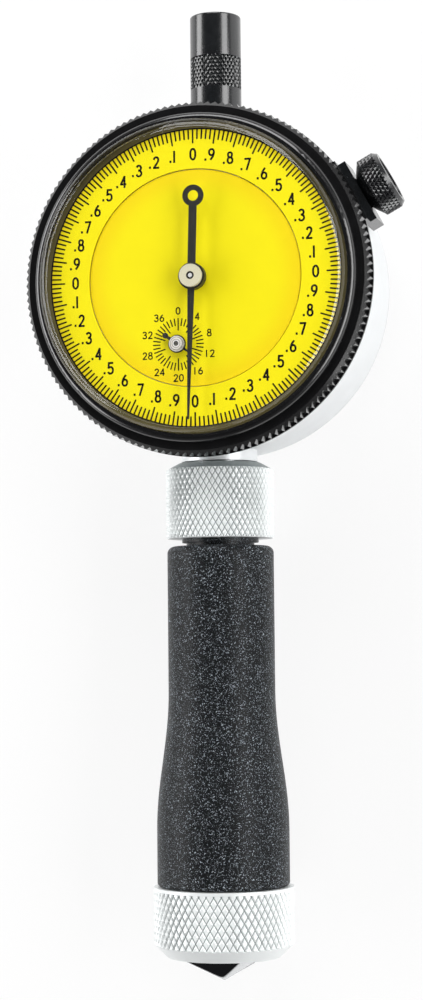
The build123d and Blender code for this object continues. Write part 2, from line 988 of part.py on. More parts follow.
def counter_arbor():
    """The rack pinion and its arbor in one piece."""
    x, y = counter_offset_x, counter_offset_y
    pinion = gear_face(rack_pinion_teeth, rack_module, 0)
    arbor = Pos(x, dial_y + y, -rack_pinion_half_length) * extrude(pinion, 2 * rack_pinion_half_length)
    arbor += post(x, y, arbor_radius, bridge_top + running, lower_plate_bottom - running)
    arbor += post(x, y, pivot_radius, bridge_top - bridge_thickness, lower_plate_top + running)
    arbor += post(x, y, arbor_radius, lower_plate_top + running, upper_plate_bottom - running)
    arbor += post(x, y, pivot_radius, upper_plate_bottom - running, counter_hand_bottom)
    tip = counter_hub_bottom + counter_hub_height
    return arbor + post(x, y, arbor_tip_radius, counter_hand_bottom, tip)


def centre_arbor():
    _, centre_phase, _ = mesh_phases()
    pinion = gear_face(centre_teeth, tooth_module, centre_phase)
    arbor = Pos(0, dial_y, centre_pinion_bottom) * extrude(pinion, centre_pinion_length)
    arbor += post(0, 0, pivot_radius, lower_plate_bottom, lower_plate_top + running)
    arbor += post(0, 0, arbor_radius, lower_plate_top + running, upper_plate_bottom - running)
    arbor += post(0, 0, pivot_radius, upper_plate_bottom - running, hand_boss_bottom)
    tip = hub_disc_bottom + hub_disc_height - running
    return arbor + post(0, 0, arbor_tip_radius, hand_boss_bottom, tip)


def takeup_arbor():
    x, y = takeup_x, takeup_y
    arbor = post(x, y, pivot_radius, lower_plate_bottom, plate_underside - running)
    arbor += post(x, y, arbor_radius, lower_plate_top + running, upper_plate_bottom - running)
    collet_low = hairspring_bottom - hair_collet_margin
    collet_high = hairspring_bottom + hairspring_height + hair_collet_margin
    return arbor + post(x, y, hair_collet_radius, collet_low, collet_high)


def spiral_points(offset):
    count = hairspring_turns * hairspring_steps
    growth = hairspring_outer - hairspring_inner
    points = []
    for index in range(count + 1):
        angle = 2 * math.pi * hairspring_turns * index / count
        radius = hairspring_inner + growth * index / count + offset
        points.append((radius * math.cos(angle), radius * math.sin(angle)))
    return points


def hairspring():
    outer = spiral_points(hairspring_strip / 2)
    inner = spiral_points(-hairspring_strip / 2)
    strip = make_face(Polyline(*(outer + inner[::-1]), close=True))
    return Pos(takeup_x, dial_y + takeup_y, hairspring_bottom) * extrude(strip, hairspring_height)


def hairspring_stud():
    low = hairspring_bottom - hair_collet_margin
    x = takeup_x + hairspring_outer
    middle = (low + upper_plate_bottom) / 2
    return Pos(x, dial_y + takeup_y + stud_size / 2, middle) * Box(
        stud_size, stud_size, upper_plate_bottom - low
    )


# Movement frame


def frame_plate(bottom, top):
    plate = plate_disc(plate_radius, bottom, top)
    for side in (-1, 1):
        plate -= Pos(0, dial_y + side * (plate_flat + plate_radius), (bottom + top) / 2) * Box(
            2 * plate_radius, 2 * plate_radius, 2 * (top - bottom)
        )
    return plate


def arbor_places():
    return ((0, 0), (counter_offset_x, counter_offset_y), (takeup_x, takeup_y))


def lower_plate():
    plate = frame_plate(lower_plate_bottom, lower_plate_top)
    for x, y in arbor_places():
        plate -= post(x, y, arbor_bush_radius, lower_plate_bottom, lower_plate_top)
    for x, y in pillar_places:
        plate -= post(x, y, pillar_screw_radius, lower_plate_bottom, lower_plate_top)
    half = pin_radius + running
    low = guide_pin_y - pin_radius - guide_slot_margin
    high = guide_pin_y + rest_projection + pin_radius + guide_slot_margin
    plate -= Pos(0, dial_y + (low + high) / 2, (lower_plate_bottom + lower_plate_top) / 2) * Box(
        2 * half, high - low, lower_plate_thickness
    )
    for x, y in bridge_screw_places():
        plate -= post(x, y, bridge_screw_radius, lower_plate_bottom, lower_plate_top)
    return plate - post(spring_x, post_y, post_radius, lower_plate_bottom, lower_plate_top)


def upper_plate():
    plate = frame_plate(upper_plate_bottom, plate_underside)
    for x, y in arbor_places():
        plate -= post(x, y, arbor_bush_radius, upper_plate_bottom, plate_underside)
    for x, y in pillar_places:
        plate -= post(x, y, pillar_screw_radius, upper_plate_bottom, plate_underside)
    return plate


def pillars():
    solids = []
    for x, y in pillar_places:
        pillar = post(x, y, pillar_radius, lower_plate_top, upper_plate_bottom)
        pillar -= post(x, y, pillar_screw_radius, lower_plate_top, lower_plate_top + pillar_screw_depth)
        pillar -= post(x, y, pillar_screw_radius, upper_plate_bottom - pillar_screw_depth, upper_plate_bottom)
        solids.append(pillar)
    return Compound(children=solids)


def plate_screws():
    return Compound(
        children=[
            screw(
                x,
                y,
                pillar_screw_head_radius,
                pillar_screw_head_height,
                pillar_screw_radius,
                lower_plate_bottom - pillar_screw_head_height,
                1,
                lower_plate_thickness + pillar_screw_depth - seat_gap,
            )
            for x, y in pillar_places
        ]
    )


def mount_screws():
    grip = dial_seat - mount_screw_head_height - upper_plate_bottom
    return Compound(
        children=[
            screw(
                x,
                y,
                mount_screw_head_radius,
                mount_screw_head_height,
                pillar_screw_radius,
                dial_seat,
                -1,
                grip + pillar_screw_depth - seat_gap,
            )
            for x, y in pillar_places
        ]
    )


def arbor_bushes():
    solids = []
    for x, y in arbor_places():
        for bottom, top in ((lower_plate_bottom, lower_plate_top), (upper_plate_bottom, plate_underside)):
            ring = post(x, y, arbor_bush_radius, bottom, top)
            solids.append(ring - post(x, y, pivot_radius + running, bottom, top))
    return Compound(children=solids)


def bridge_screw_places():
    return [
        (bridge_screw_x, counter_offset_y - bridge_screw_offset),
        (bridge_screw_x, counter_offset_y + bridge_screw_offset),
    ]


def rack_bridge():
    """A bracket behind the spindle that carries the rack pinion's rear pivot."""
    low = bridge_top - bridge_thickness
    arm_middle = (bridge_end + bridge_reach) / 2
    foot_middle = (bridge_end + bridge_foot_inner) / 2
    arm = Pos(arm_middle, dial_y + counter_offset_y, (low + bridge_top) / 2) * Box(
        bridge_reach - bridge_end, 2 * bridge_half_width, bridge_thickness
    )
    foot = Pos(foot_middle, dial_y + counter_offset_y, (low + lower_plate_bottom) / 2) * Box(
        bridge_foot_inner - bridge_end, 2 * bridge_half_width, lower_plate_bottom - low
    )
    bracket = arm + foot
    bracket -= post(counter_offset_x, counter_offset_y, pivot_radius + running, low, bridge_top)
    for x, y in bridge_screw_places():
        bracket -= post(x, y, bridge_screw_radius, low, lower_plate_bottom)
    return bracket


def bridge_screws():
    low = bridge_top - bridge_thickness
    return Compound(
        children=[
            screw(
                x,
                y,
                bridge_screw_head_radius,
                bridge_screw_head_height,
                bridge_screw_radius,
                low - bridge_screw_head_height,
                1,
                lower_plate_top - low - seat_gap,
            )
            for x, y in bridge_screw_places()
        ]
    )


def spring_post():
    return post(spring_x, post_y, post_radius, post_bottom, lower_plate_top)


def return_spring():
    bottom = dial_y + post_y + post_radius + seat_gap
    top = dial_y + spring_pin_y - pin_radius - seat_gap
    spring = coil(return_spring_radius, return_spring_wire, return_spring_turns, bottom, top)
    return Pos(spring_x, 0, 0) * spring


# Hands


def main_hand():
    """The long hand, drawn pointing up and turned to its reading."""
    start = hand_root_width / 2
    blade = section(
        [
            (-start, 0),
            (start, 0),
            (hand_tip_width / 2, hand_length),
            (-hand_tip_width / 2, hand_length),
        ]
    )
    tail_middle = -hand_tail_ring_y / 2
    tail = Pos(0, tail_middle) * Rectangle(hand_tail_width, hand_tail_ring_y)
    ring = Pos(0, -hand_tail_ring_y) * Circle(hand_ring_radius)
    hole = Pos(0, -hand_tail_ring_y) * Circle(hand_ring_hole)
    flat = blade + tail + ring + Circle(hand_boss_radius) - hole
    hand = Pos(0, 0, hand_bottom) * extrude(flat, hand_thickness)
    hand += Pos(0, 0, hand_boss_bottom) * extrude(Circle(hand_boss_radius), hand_bottom - hand_boss_bottom)
    hand -= Pos(0, 0, hand_boss_bottom) * extrude(Circle(arbor_tip_radius), hand_bottom)
    return Pos(0, dial_y, 0) * (Rot(0, 0, hand_turn) * hand)


def hub_disc():
    top = hub_disc_bottom + hub_disc_height
    return dial_turned(
        [
            (arbor_tip_radius, hub_disc_bottom),
            (hub_disc_radius, hub_disc_bottom),
            (hub_disc_radius, top),
            (hub_well_radius, top),
            (hub_well_radius, top - hub_well_depth),
            (arbor_tip_radius, top - hub_well_depth),
        ]
    )


def counter_hand():
    start = counter_hand_width / 2
    blade = section(
        [
            (-start, 0),
            (start, 0),
            (counter_hand_tip_width / 2, counter_hand_length),
            (-counter_hand_tip_width / 2, counter_hand_length),
        ]
    )
    tail = Pos(0, -counter_tail / 2) * Rectangle(counter_hand_width, counter_tail)
    bob = Pos(0, -counter_tail) * Circle(counter_bob_radius)
    flat = blade + tail + bob + Circle(counter_disc_radius) - Circle(arbor_tip_radius)
    hand = Rot(0, 0, counter_turn) * extrude(flat, counter_hand_thickness)
    return Pos(counter_offset_x, dial_y + counter_offset_y, counter_hand_bottom) * hand


def counter_hub():
    x, y = counter_offset_x, counter_offset_y
    top = counter_hub_bottom + counter_hub_height
    step = top - counter_hub_step
    hub = post(x, y, counter_hub_radius, counter_hub_bottom, step)
    hub += post(x, y, counter_hub_step_radius, step, top)
    return hub - post(x, y, arbor_tip_radius, counter_hub_bottom, top)


# Bezel clamp


def along_clamp(shape, distance):
    """Put a shape drawn along +Z on the clamp screw's axis, that far from the dial axis."""
    turn = Rot(0, 0, clamp_angle) * Rot(0, 90, 0)
    way = polar(distance, clamp_angle)
    return Pos(way.X, dial_y + way.Y, clamp_height) * (turn * shape)


def clamp_bar():
    """A bar on the case wall whose thin lip reaches up behind the bezel's rim."""
    lip_top = bezel_back - clamp_lip_gap
    bottom = clamp_height - clamp_width / 2
    inner = case_radius + clamp_gap
    bar = Pos(inner + clamp_thickness / 2, 0, clamp_height) * Box(
        clamp_thickness, clamp_length, clamp_width
    )
    lip = Pos(inner + clamp_lip_thickness / 2, 0, (bottom + lip_top) / 2) * Box(
        clamp_lip_thickness, clamp_length, lip_top - bottom
    )
    placed = Pos(0, dial_y, 0) * (Rot(0, 0, clamp_angle) * (bar + lip))
    hole = along_clamp(extrude(Circle(thumb_thread_radius + running), clamp_thickness), inner)
    wall = Pos(0, dial_y, clamp_height) * Cylinder(inner, 2 * (lip_top - bottom))
    return placed - hole - wall


def thumb_screw():
    start = thumb_taper_start
    knurl = thumb_taper_length
    face = knurl + thumb_knurl_length + thumb_face_chamfer
    profile = Plane.XZ * section(
        [
            (0, -clamp_thickness - thumb_thread_depth),
            (thumb_thread_radius, -clamp_thickness - thumb_thread_depth),
            (thumb_thread_radius, 0),
            (thumb_boss_radius, 0),
            (thumb_taper_radius, start),
            (thumb_radius, knurl),
            (thumb_radius, knurl + thumb_knurl_length),
            (thumb_face_radius, face),
            (thumb_dish_radius, face),
            (thumb_dish_radius, face - thumb_dish_depth),
            (0, face - thumb_dish_depth),
        ]
    )
    return along_clamp(revolve(profile, Axis.Z), clamp_face)


pieces = [
    handle,
    anvil_collar,
    plunger,
    plunger_rod,
    stop_ring,
    plunger_spring,
    plunger_bush,
    collet,
    clamp_collar,
    stem,
    lower_bushing,
    upper_bushing,
    contact_point,
    rack_spindle,
    guide_pin,
    spring_pin,
    case,
    back_cover,
    back_screws,
    top_cap,
    bezel,
    bezel_spring,
    crystal,
    dial_ring,
    inner_dial,
    lower_plate,
    upper_plate,
    pillars,
    plate_screws,
    mount_screws,
    arbor_bushes,
    rack_bridge,
    bridge_screws,
    spring_post,
    return_spring,
    counter_arbor,
    main_gear,
    centre_arbor,
    takeup_arbor,
    takeup_gear,
    hairspring,
    hairspring_stud,
    main_hand,
    hub_disc,
    counter_hand,
    counter_hub,
    clamp_bar,
    thumb_screw,
]

for piece in pieces:
    export_step(piece(), f"parts/{piece.__name__}.step")
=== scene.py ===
"""Looks and studio of an internal chamfer gauge.

Run as a script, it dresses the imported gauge: every piece gets its finish, the knurled pieces get
their real knurls, the dials get their printed scales, and a plain studio is set round it.
"""

import json
import math

import bmesh
import bpy
from bpy.props import FloatProperty, FloatVectorProperty, IntProperty, PointerProperty
from mathutils import Matrix, Vector


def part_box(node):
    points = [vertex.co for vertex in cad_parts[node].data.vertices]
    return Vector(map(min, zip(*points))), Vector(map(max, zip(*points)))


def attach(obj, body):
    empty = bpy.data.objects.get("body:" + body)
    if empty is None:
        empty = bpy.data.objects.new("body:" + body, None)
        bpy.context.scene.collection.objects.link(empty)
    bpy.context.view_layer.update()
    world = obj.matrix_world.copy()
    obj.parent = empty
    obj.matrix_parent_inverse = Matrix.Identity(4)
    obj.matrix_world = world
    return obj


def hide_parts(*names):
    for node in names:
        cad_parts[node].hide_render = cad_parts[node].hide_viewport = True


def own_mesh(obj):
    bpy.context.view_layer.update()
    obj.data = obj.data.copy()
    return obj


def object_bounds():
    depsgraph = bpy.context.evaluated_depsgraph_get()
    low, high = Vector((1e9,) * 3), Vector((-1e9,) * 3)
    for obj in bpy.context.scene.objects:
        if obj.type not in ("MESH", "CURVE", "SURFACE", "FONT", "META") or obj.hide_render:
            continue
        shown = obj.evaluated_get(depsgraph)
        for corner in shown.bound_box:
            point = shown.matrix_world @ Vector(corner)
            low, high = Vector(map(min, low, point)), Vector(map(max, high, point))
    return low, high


bl_info = {
    "name": "Internal chamfer gauge",
    "version": (1, 0, 0),
    "blender": (4, 5, 0),
    "location": "3D View > Sidebar > Gauge",
    "description": "Finishes, knurls, printed scales and studio of a dial chamfer gauge",
    "category": "Object",
}

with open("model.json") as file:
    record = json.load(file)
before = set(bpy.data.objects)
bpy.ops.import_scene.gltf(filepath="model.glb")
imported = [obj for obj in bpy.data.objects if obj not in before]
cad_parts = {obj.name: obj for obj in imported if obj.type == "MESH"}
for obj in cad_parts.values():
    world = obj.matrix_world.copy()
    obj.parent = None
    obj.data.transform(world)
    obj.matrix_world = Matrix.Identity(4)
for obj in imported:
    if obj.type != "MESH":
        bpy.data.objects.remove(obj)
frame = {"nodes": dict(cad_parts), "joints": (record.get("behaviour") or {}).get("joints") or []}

# Places that everything else is worked out from, in metres.
MM = 0.001
CAD_BOX = [[float(value) for value in corner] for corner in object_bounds()]
JOINTS = {joint["name"]: joint for joint in frame["joints"]}
DIAL_CENTRE = Vector(JOINTS["bezel_turn"]["pos_m"])
COUNTER_CENTRE = Vector(JOINTS["counter_arbor_turn"]["pos_m"])
DIAL_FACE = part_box("dial_ring")[1].z
INNER_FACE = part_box("inner_dial")[1].z
# Height of the anvil's plain chamfer above its flat face.
ANVIL_CHAMFER = 2.0 * MM

# Share of each diamond that its flat crest keeps, and how far the crests lie below the surface.
CRESTS = {
    "anvil": (0.5, 0.03 * MM),
    "collar": (0.4, 0.03 * MM),
    "cap": (0.3, 0.01 * MM),
    "thumb": (0.3, 0.02 * MM),
}
# How far a bar that cuts a knurl runs past the piece, and the distance below which corners join.
CLEAR = 1.0 * MM
WELD = 1e-7

# The soft boxes: place, width and length in metres.
SOFT_BOXES = {
    "left_box": ((-0.455, 0.08, 0.215), 0.24, 0.7),
    "right_box": ((0.43, 0.08, 0.27), 0.25, 0.7),
    "top_box": ((0.0, 0.75, 0.45), 0.6, 0.4),
}
LAMPS_AIM = (0, 0.08, 0)
# How far the room looks ahead where its front and its back start and end, from -1 to 1.
ROOM_FRONT = (0.2, 0.8)
ROOM_BACK = (-0.3, 0.1)
# Width of the floor in metres, and how much of it glows instead of taking light.
FLOOR_SIZE = 6
FLOOR_GLOW = 0.85
# Height of the camera's sensor in millimetres.
SENSOR = 24.0


def mm_field(name, description, millimetres):
    """A length in a property group."""
    default = millimetres * MM
    return FloatProperty(name=name, description=description, default=default, unit="LENGTH")


def angle_field(name, description, degrees):
    """An angle in a property group."""
    default = math.radians(degrees)
    return FloatProperty(name=name, description=description, default=default, subtype="ANGLE")


def count_field(name, description, default):
    """A number of pieces in a property group."""
    return IntProperty(name=name, description=description, default=default)


def colour_field(name, description, *default):
    """A colour in a property group, as linear red, green and blue."""
    return FloatVectorProperty(
        name=name, description=description, default=default, subtype="COLOR", min=0, max=1
    )


class KnurlSizes(bpy.types.PropertyGroup):
    """Sizes of the diamond knurls."""

    helix: angle_field("Helix", "Slope of the knurl's grooves", 30)
    anvil_count: count_field("Anvil", "Diamonds round the anvil", 58)
    anvil_depth: mm_field("Anvil depth", "Depth of the anvil's grooves", 0.24)
    anvil_rim: mm_field("Anvil rim", "Plain rim above the anvil's knurl", 0.6)
    collar_count: count_field("Collar", "Diamonds round the collar", 56)
    collar_depth: mm_field("Collar depth", "Depth of the collar's grooves", 0.26)
    cap_count: count_field("Cap", "Diamonds round the cap", 36)
    cap_depth: mm_field("Cap depth", "Depth of the cap's grooves", 0.2)
    cap_band_low: mm_field(
        "Cap band, low", "Lower edge of the cap's knurl, along the plunger axis", 143.0
    )
    cap_band_high: mm_field(
        "Cap band, high", "Upper edge of the cap's knurl, along the plunger axis", 148.3
    )
    thumb_count: count_field("Thumb screw", "Diamonds round the thumb screw", 42)
    thumb_depth: mm_field("Thumb screw depth", "Depth of the thumb screw's grooves", 0.2)


class ScaleSizes(bpy.types.PropertyGroup):
    """Sizes of the printed scales."""

    ink: mm_field("Ink", "Thickness of the print", 0.02)
    edge_radius: mm_field("Edge line", "Radius of the line round the dial", 24.0)
    edge_width: mm_field("Edge line width", "Width of the line round the dial", 0.24)
    division_count: count_field("Divisions", "Divisions round the dial", 200)
    division_step: count_field("Longer every", "Divisions from one longer line to the next", 5)
    division_width: mm_field("Division width", "Width of a division line", 0.26)
    division_length: mm_field("Division length", "Length of a division line", 1.68)
    division_long: mm_field("Longer division", "Length of a longer division line", 2.35)
    numeral_count: count_field("Numerals", "Numerals round the dial", 40)
    numeral_radius: mm_field("Numeral circle", "Radius of the circle through the numerals", 19.9)
    numeral_height: mm_field("Numeral height", "Height of the dial's numerals", 1.72)
    numeral_width: mm_field("Numeral width", "Width of the dial's numerals", 0.8)
    numeral_stroke: mm_field("Numeral stroke", "Line width of the dial's numerals", 0.34)
    counter_outer: mm_field("Counter circle", "Outer radius of the turn counter's scale", 4.23)
    counter_count: count_field("Counter divisions", "Divisions of the turn counter", 40)
    counter_step: count_field(
        "Counter longer every", "Divisions from one longer line to the next", 4
    )
    counter_length: mm_field("Counter division", "Length of a counter line", 1.25)
    counter_long: mm_field("Counter longer division", "Length of a longer counter line", 2.0)
    counter_width: mm_field("Counter width", "Width of a counter line", 0.2)
    counter_numeral_radius: mm_field(
        "Counter numeral circle", "Radius of the circle through its numerals", 5.4
    )
    counter_numeral_height: mm_field(
        "Counter numeral height", "Height of the counter's numerals", 1.04
    )
    counter_numeral_width: mm_field(
        "Counter numeral width", "Width of the counter's numerals", 0.6
    )
    counter_numeral_stroke: mm_field(
        "Counter numeral stroke", "Line width of the counter's numerals", 0.21
    )


class FinishColours(bpy.types.PropertyGroup):
    """Colours of the gauge's finishes."""

    dial: colour_field("Dial", "The dial's yellow", 0.94, 0.81, 0.005)
    # Painted shade: the dark olive ring past the printed edge line, for the bezel lip's shade.
    dial_seat: colour_field(
        "Dial seat", "Shaded ring outside the dial's printed edge line", 0.11, 0.09, 0.03
    )
    # Painted shade: the deeper yellow near the dials' edges stands for the shade there.
    dial_edge: colour_field("Dial edge", "Deeper yellow near the dial's edges", 0.90, 0.64, 0.005)
    ink: colour_field("Ink", "Print on the dials", 0.004, 0.004, 0.004)
    paint: colour_field("Paint", "Hollows of the handle's wrinkle paint", 0.003, 0.004, 0.005)
    # Painted highlight: the crests' pale blue-grey stands for the lamps' glint on black paint.
    paint_crest: colour_field(
        "Paint crest", "Crests of the handle's wrinkle paint", 0.54, 0.61, 0.68
    )
    paint_grain: mm_field("Paint grain", "Width of one wrinkle", 0.22)
    aluminium: colour_field("Aluminium", "Knurled aluminium", 0.92, 0.95, 0.95)
    # Painted shade in the grooves of the aluminium knurls.
    groove: colour_field("Groove", "Grooves of the aluminium knurls", 0.20, 0.23, 0.23)
    black: colour_field(
        "Blackened steel", "Cap, thumb screw, clamp and collet", 0.006, 0.007, 0.008
    )
    brass: colour_field("Brass", "Plates and gears", 0.72, 0.50, 0.20)
    cream: colour_field("Hub disc", "Cream disc on the long hand", 0.71, 0.67, 0.49)


class StudioSettings(bpy.types.PropertyGroup):
    """Camera and lamps."""

    camera_place: FloatVectorProperty(
        name="Camera", description="Where the camera stands", default=(0.09588, 0.05184, 0.36584),
        subtype="TRANSLATION",
    )
    camera_yaw: angle_field("Yaw", "How far right of the dial's normal the camera stands", 14.9)
    camera_pitch: angle_field("Pitch", "How far the camera looks up the gauge", 3.44)
    camera_roll: angle_field("Roll", "How far the camera is tilted", -0.56)
    camera_lens: FloatProperty(
        name="Lens", description="Focal length in millimetres, on a sensor 24 mm high",
        default=55.0,
    )
    lamp_strength: FloatProperty(
        name="Lamps", description="Radiance of the soft boxes", default=5.2
    )
    room_strength: FloatProperty(
        name="Room", description="Brightness of the walls beside and behind the gauge",
        default=0.22,
    )
    front_strength: FloatProperty(
        name="Front", description="Brightness of the room behind the camera", default=0.01
    )


# Selecting and shaping


def deselect():
    bpy.ops.object.select_all(action="DESELECT")


def select_only(piece):
    deselect()
    piece.select_set(True)
    bpy.context.view_layer.objects.active = piece


def named(name):
    """Give the object that an operator has just made its name."""
    piece = bpy.context.view_layer.objects.active
    piece.name = name
    piece.data.name = name
    return piece


class Shaping:
    """Edit mode on one piece, with everything selected at first."""

    def __init__(self, piece, kind="FACE"):
        self.piece = piece
        self.kind = kind

    def __enter__(self):
        select_only(self.piece)
        bpy.ops.object.mode_set(mode="EDIT")
        bpy.ops.mesh.select_mode(type=self.kind)
        bpy.ops.mesh.select_all(action="SELECT")

    def __exit__(self, *trouble):
        bpy.ops.object.mode_set(mode="OBJECT")


def apply_modifier(piece, kind, **settings):
    modifier = piece.modifiers.new(kind, kind)
    for field, value in settings.items():
        setattr(modifier, field, value)
    select_only(piece)
    bpy.ops.object.modifier_apply(modifier=modifier.name)


def settle(piece, placement=None):
    """Put the piece where it belongs, with its place in its mesh."""
    if placement is not None:
        piece.matrix_world = placement
    select_only(piece)
    bpy.ops.object.transform_apply(location=True, rotation=True, scale=True)


def join(pieces, name):
    deselect()
    for piece in pieces:
        piece.select_set(True)
    bpy.context.view_layer.objects.active = pieces[0]
    bpy.ops.object.join()
    return named(name)


def smooth(piece, angle=28):
    select_only(piece)
    bpy.ops.object.shade_smooth_by_angle(angle=math.radians(angle))


def finish_piece(piece, finish, body, slot, *nodes):
    """Give a piece its finish and say what it rides on and stands for; its slot is not used."""
    piece.data.materials.clear()
    piece.data.materials.append(bpy.data.materials[finish])
    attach(piece, body)
    if nodes:
        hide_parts(*nodes)


def turned_copies(piece, count, centre, leave_out=lambda index: False):
    """Copies of a piece at even steps round the dial axis, each with its own mesh."""
    copies = []
    for index in range(count):
        if leave_out(index):
            continue
        turn = Matrix.Rotation(-2 * math.pi * index / count, 4, "Z")
        copy = piece.copy()
        copy.data = piece.data.copy()
        copy.data.transform(Matrix.Translation(centre) @ turn @ Matrix.Translation(-centre))
        bpy.context.scene.collection.objects.link(copy)
        copies.append(copy)
    bpy.data.objects.remove(piece)
    return copies


# Knurls


def diamond_tile(width, height, depth, crest):
    """One diamond of the knurl, standing in the XZ plane with its crest towards -Y.

    Crest is the share of its width that stays flat.
    """
    deselect()
    bpy.ops.mesh.primitive_plane_add(size=math.sqrt(0.5), rotation=(math.pi / 2, 0, 0))
    tile = named("knurl")
    settle(tile)
    with Shaping(tile):
        bpy.ops.transform.rotate(
            value=math.pi / 4, orient_axis="Y", orient_type="GLOBAL", center_override=(0, 0, 0)
        )
        bpy.ops.transform.resize(value=(width, 1, height), center_override=(0, 0, 0))
        slope = math.atan2(width, height)
        bpy.ops.mesh.inset(thickness=(1 - crest) * math.cos(slope) * width / 2, depth=depth)
    return tile


def knurled_bar(kind, radius, low, high, reach_low, reach_high, shoulder=0):
    """A round bar along Z for a piece of that radius, knurled from low to high and plain beyond.

    The plain ends run on to reach_low and reach_high. With a shoulder, they stand out past the
    knurl by that much.
    """
    sizes = bpy.context.scene.gauge_knurls
    count, depth = getattr(sizes, f"{kind}_count"), getattr(sizes, f"{kind}_depth")
    crest, skin = CRESTS[kind]
    root = radius - skin - depth
    width = 2 * math.pi * root / count
    height = width / math.tan(sizes.helix)
    rows = math.ceil((high - low) / height + 0.5)
    bar = diamond_tile(width, height, depth, crest)
    touching = width / 100
    merge = {"use_merge_vertices": True, "merge_threshold": touching}
    for copies, offset in (
        (2, (width / 2, 0, height / 2)),
        (count, (width, 0, 0)),
        (rows, (0, 0, height)),
    ):
        apply_modifier(
            bar, "ARRAY", count=copies, use_relative_offset=False, use_constant_offset=True,
            constant_offset_displace=offset, **merge,
        )
    whole_turn = 2 * math.pi * (count + 0.5) / count
    apply_modifier(bar, "SIMPLE_DEFORM", deform_method="BEND", deform_axis="Z", angle=whole_turn)
    settle(bar, Matrix.Translation((0, -root, low)))
    with Shaping(bar):
        bpy.ops.mesh.remove_doubles(threshold=touching)
        ends = ((low, "clear_inner", reach_low), (high, "clear_outer", reach_high))
        for level, clear, reach in ends:
            bpy.ops.mesh.select_all(action="SELECT")
            bpy.ops.mesh.bisect(
                plane_co=(0, 0, level), plane_no=(0, 0, 1), threshold=WELD, **{clear: True}
            )
            bpy.ops.mesh.select_mode(type="EDGE")
            if shoulder:
                grow = 1 + shoulder / root
                bpy.ops.mesh.extrude_edges_move()
                bpy.ops.transform.resize(value=(grow, grow, 1), center_override=(0, 0, level))
            bpy.ops.mesh.extrude_edges_move()
            bpy.ops.transform.translate(value=(0, 0, reach - level))
            bpy.ops.mesh.edge_face_add()
            bpy.ops.mesh.select_mode(type="FACE")
        bpy.ops.mesh.select_all(action="SELECT")
        bpy.ops.mesh.normals_make_consistent(inside=False)
    return bar


def copy_of_node(name, node):
    """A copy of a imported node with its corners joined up."""
    source = frame["nodes"][node]
    piece = source.copy()
    piece.data = source.data.copy()
    piece.parent = None
    for key in list(piece.keys()):
        del piece[key]
    bpy.context.scene.collection.objects.link(piece)
    piece.name = name
    piece.data.name = name
    with Shaping(piece):
        bpy.ops.mesh.customdata_custom_splitnormals_clear()
        bpy.ops.mesh.remove_doubles(threshold=WELD)
    return piece


def cut_from_node(name, node, bar, placement):
    """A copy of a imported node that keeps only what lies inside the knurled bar."""
    settle(bar, placement)
    piece = copy_of_node(name, node)
    apply_modifier(piece, "BOOLEAN", operation="INTERSECT", solver="EXACT", object=bar)
    bpy.data.objects.remove(bar)
    smooth(piece)
    return piece


def along_plunger():
    """Turns a bar drawn along Z onto the plunger axis."""
    return Matrix.Rotation(-math.pi / 2, 4, "X")


def along_thumb_screw():
    """Turns a bar drawn along Z onto the thumb screw's axis, measured from the dial's centre."""
    joint = JOINTS["thumb_screw_turn"]
    axis = Vector(joint["axis"]).normalized()
    start = Vector((DIAL_CENTRE.x, DIAL_CENTRE.y, joint["pos_m"][2]))
    return Matrix.Translation(start) @ axis.to_track_quat("Z", "Y").to_matrix().to_4x4()


# Numerals, drawn with one stroke width in a box 100 high and 100 wide. A loop closes, a curve is
# round through its points and a line has corners.
NUMERALS = {
    "0": (
        ("loop", ((50, 100), (92, 82), (100, 50), (92, 18), (50, 0), (8, 18), (0, 50), (8, 82))),
    ),
    "1": (("line", ((50, 0), (50, 100))),),
    "2": (
        ("curve", ((4, 76), (20, 94), (52, 100), (86, 92), (96, 73), (72, 46), (0, 0))),
        ("line", ((0, 0), (100, 0))),
    ),
    "3": (
        ("curve", ((4, 84), (24, 97), (54, 100), (86, 91), (92, 75), (74, 59), (36, 54))),
        ("curve", ((36, 54), (80, 48), (100, 28), (84, 7), (48, 0), (16, 4), (0, 20))),
    ),
    "4": (("line", ((76, 0), (76, 100), (0, 28), (100, 28))),),
    "5": (
        ("line", ((92, 100), (16, 100), (8, 54))),
        ("curve", ((8, 54), (48, 62), (88, 52), (100, 31), (84, 8), (44, 0), (14, 5), (0, 18))),
    ),
    "6": (
        ("curve", (
            (76, 100), (26, 68), (4, 40), (4, 20), (24, 3), (52, 0), (84, 6), (100, 28), (84, 50),
            (52, 56), (18, 48), (2, 30),
        )),
    ),
    "7": (("line", ((0, 100), (100, 100), (32, 0))),),
    "8": (
        ("loop", (
            (50, 100), (82, 94), (90, 77), (78, 61), (50, 54), (22, 61), (10, 77), (18, 94),
        )),
        ("loop", ((50, 54), (86, 46), (100, 27), (86, 7), (50, 0), (14, 7), (0, 27), (14, 46))),
    ),
    "9": (
        ("curve", (
            (24, 0), (74, 32), (96, 60), (96, 80), (76, 97), (48, 100), (16, 94), (0, 72),
            (16, 50), (48, 44), (82, 52), (98, 70),
        )),
    ),
}
# Gap to a decimal point as a share of a numeral's height.
POINT_GAP = 0.36
# Gap between numerals, overrun at corners, and the foot and length of a point, in strokes.
MARK_GAP = 1.6
OVERRUN = 0.35
POINT_FOOT = 0.1
POINT_LENGTH = 0.4
# Softened corner of a division line as a share of its width, and how nearly along Z an upright
# edge of it points.
LINE_CORNER = 0.25
UPRIGHT = 0.9


def add_stroke(curve, points, kind="line"):
    stroke = curve.splines.new("BEZIER")
    stroke.bezier_points.add(len(points) - 1)
    stroke.use_cyclic_u = kind == "loop"
    stroke.resolution_u = 1 if kind == "line" else 5
    for knot, point in zip(stroke.bezier_points, points):
        knot.co = (*point, 0)
        knot.handle_left_type = knot.handle_right_type = "VECTOR" if kind == "line" else "AUTO"


def add_line(curve, start, end, stroke):
    """A straight stroke that runs a little past both ends, so that corners close."""
    reach = (end - start).normalized() * stroke * OVERRUN
    add_stroke(curve, (start - reach, end + reach))


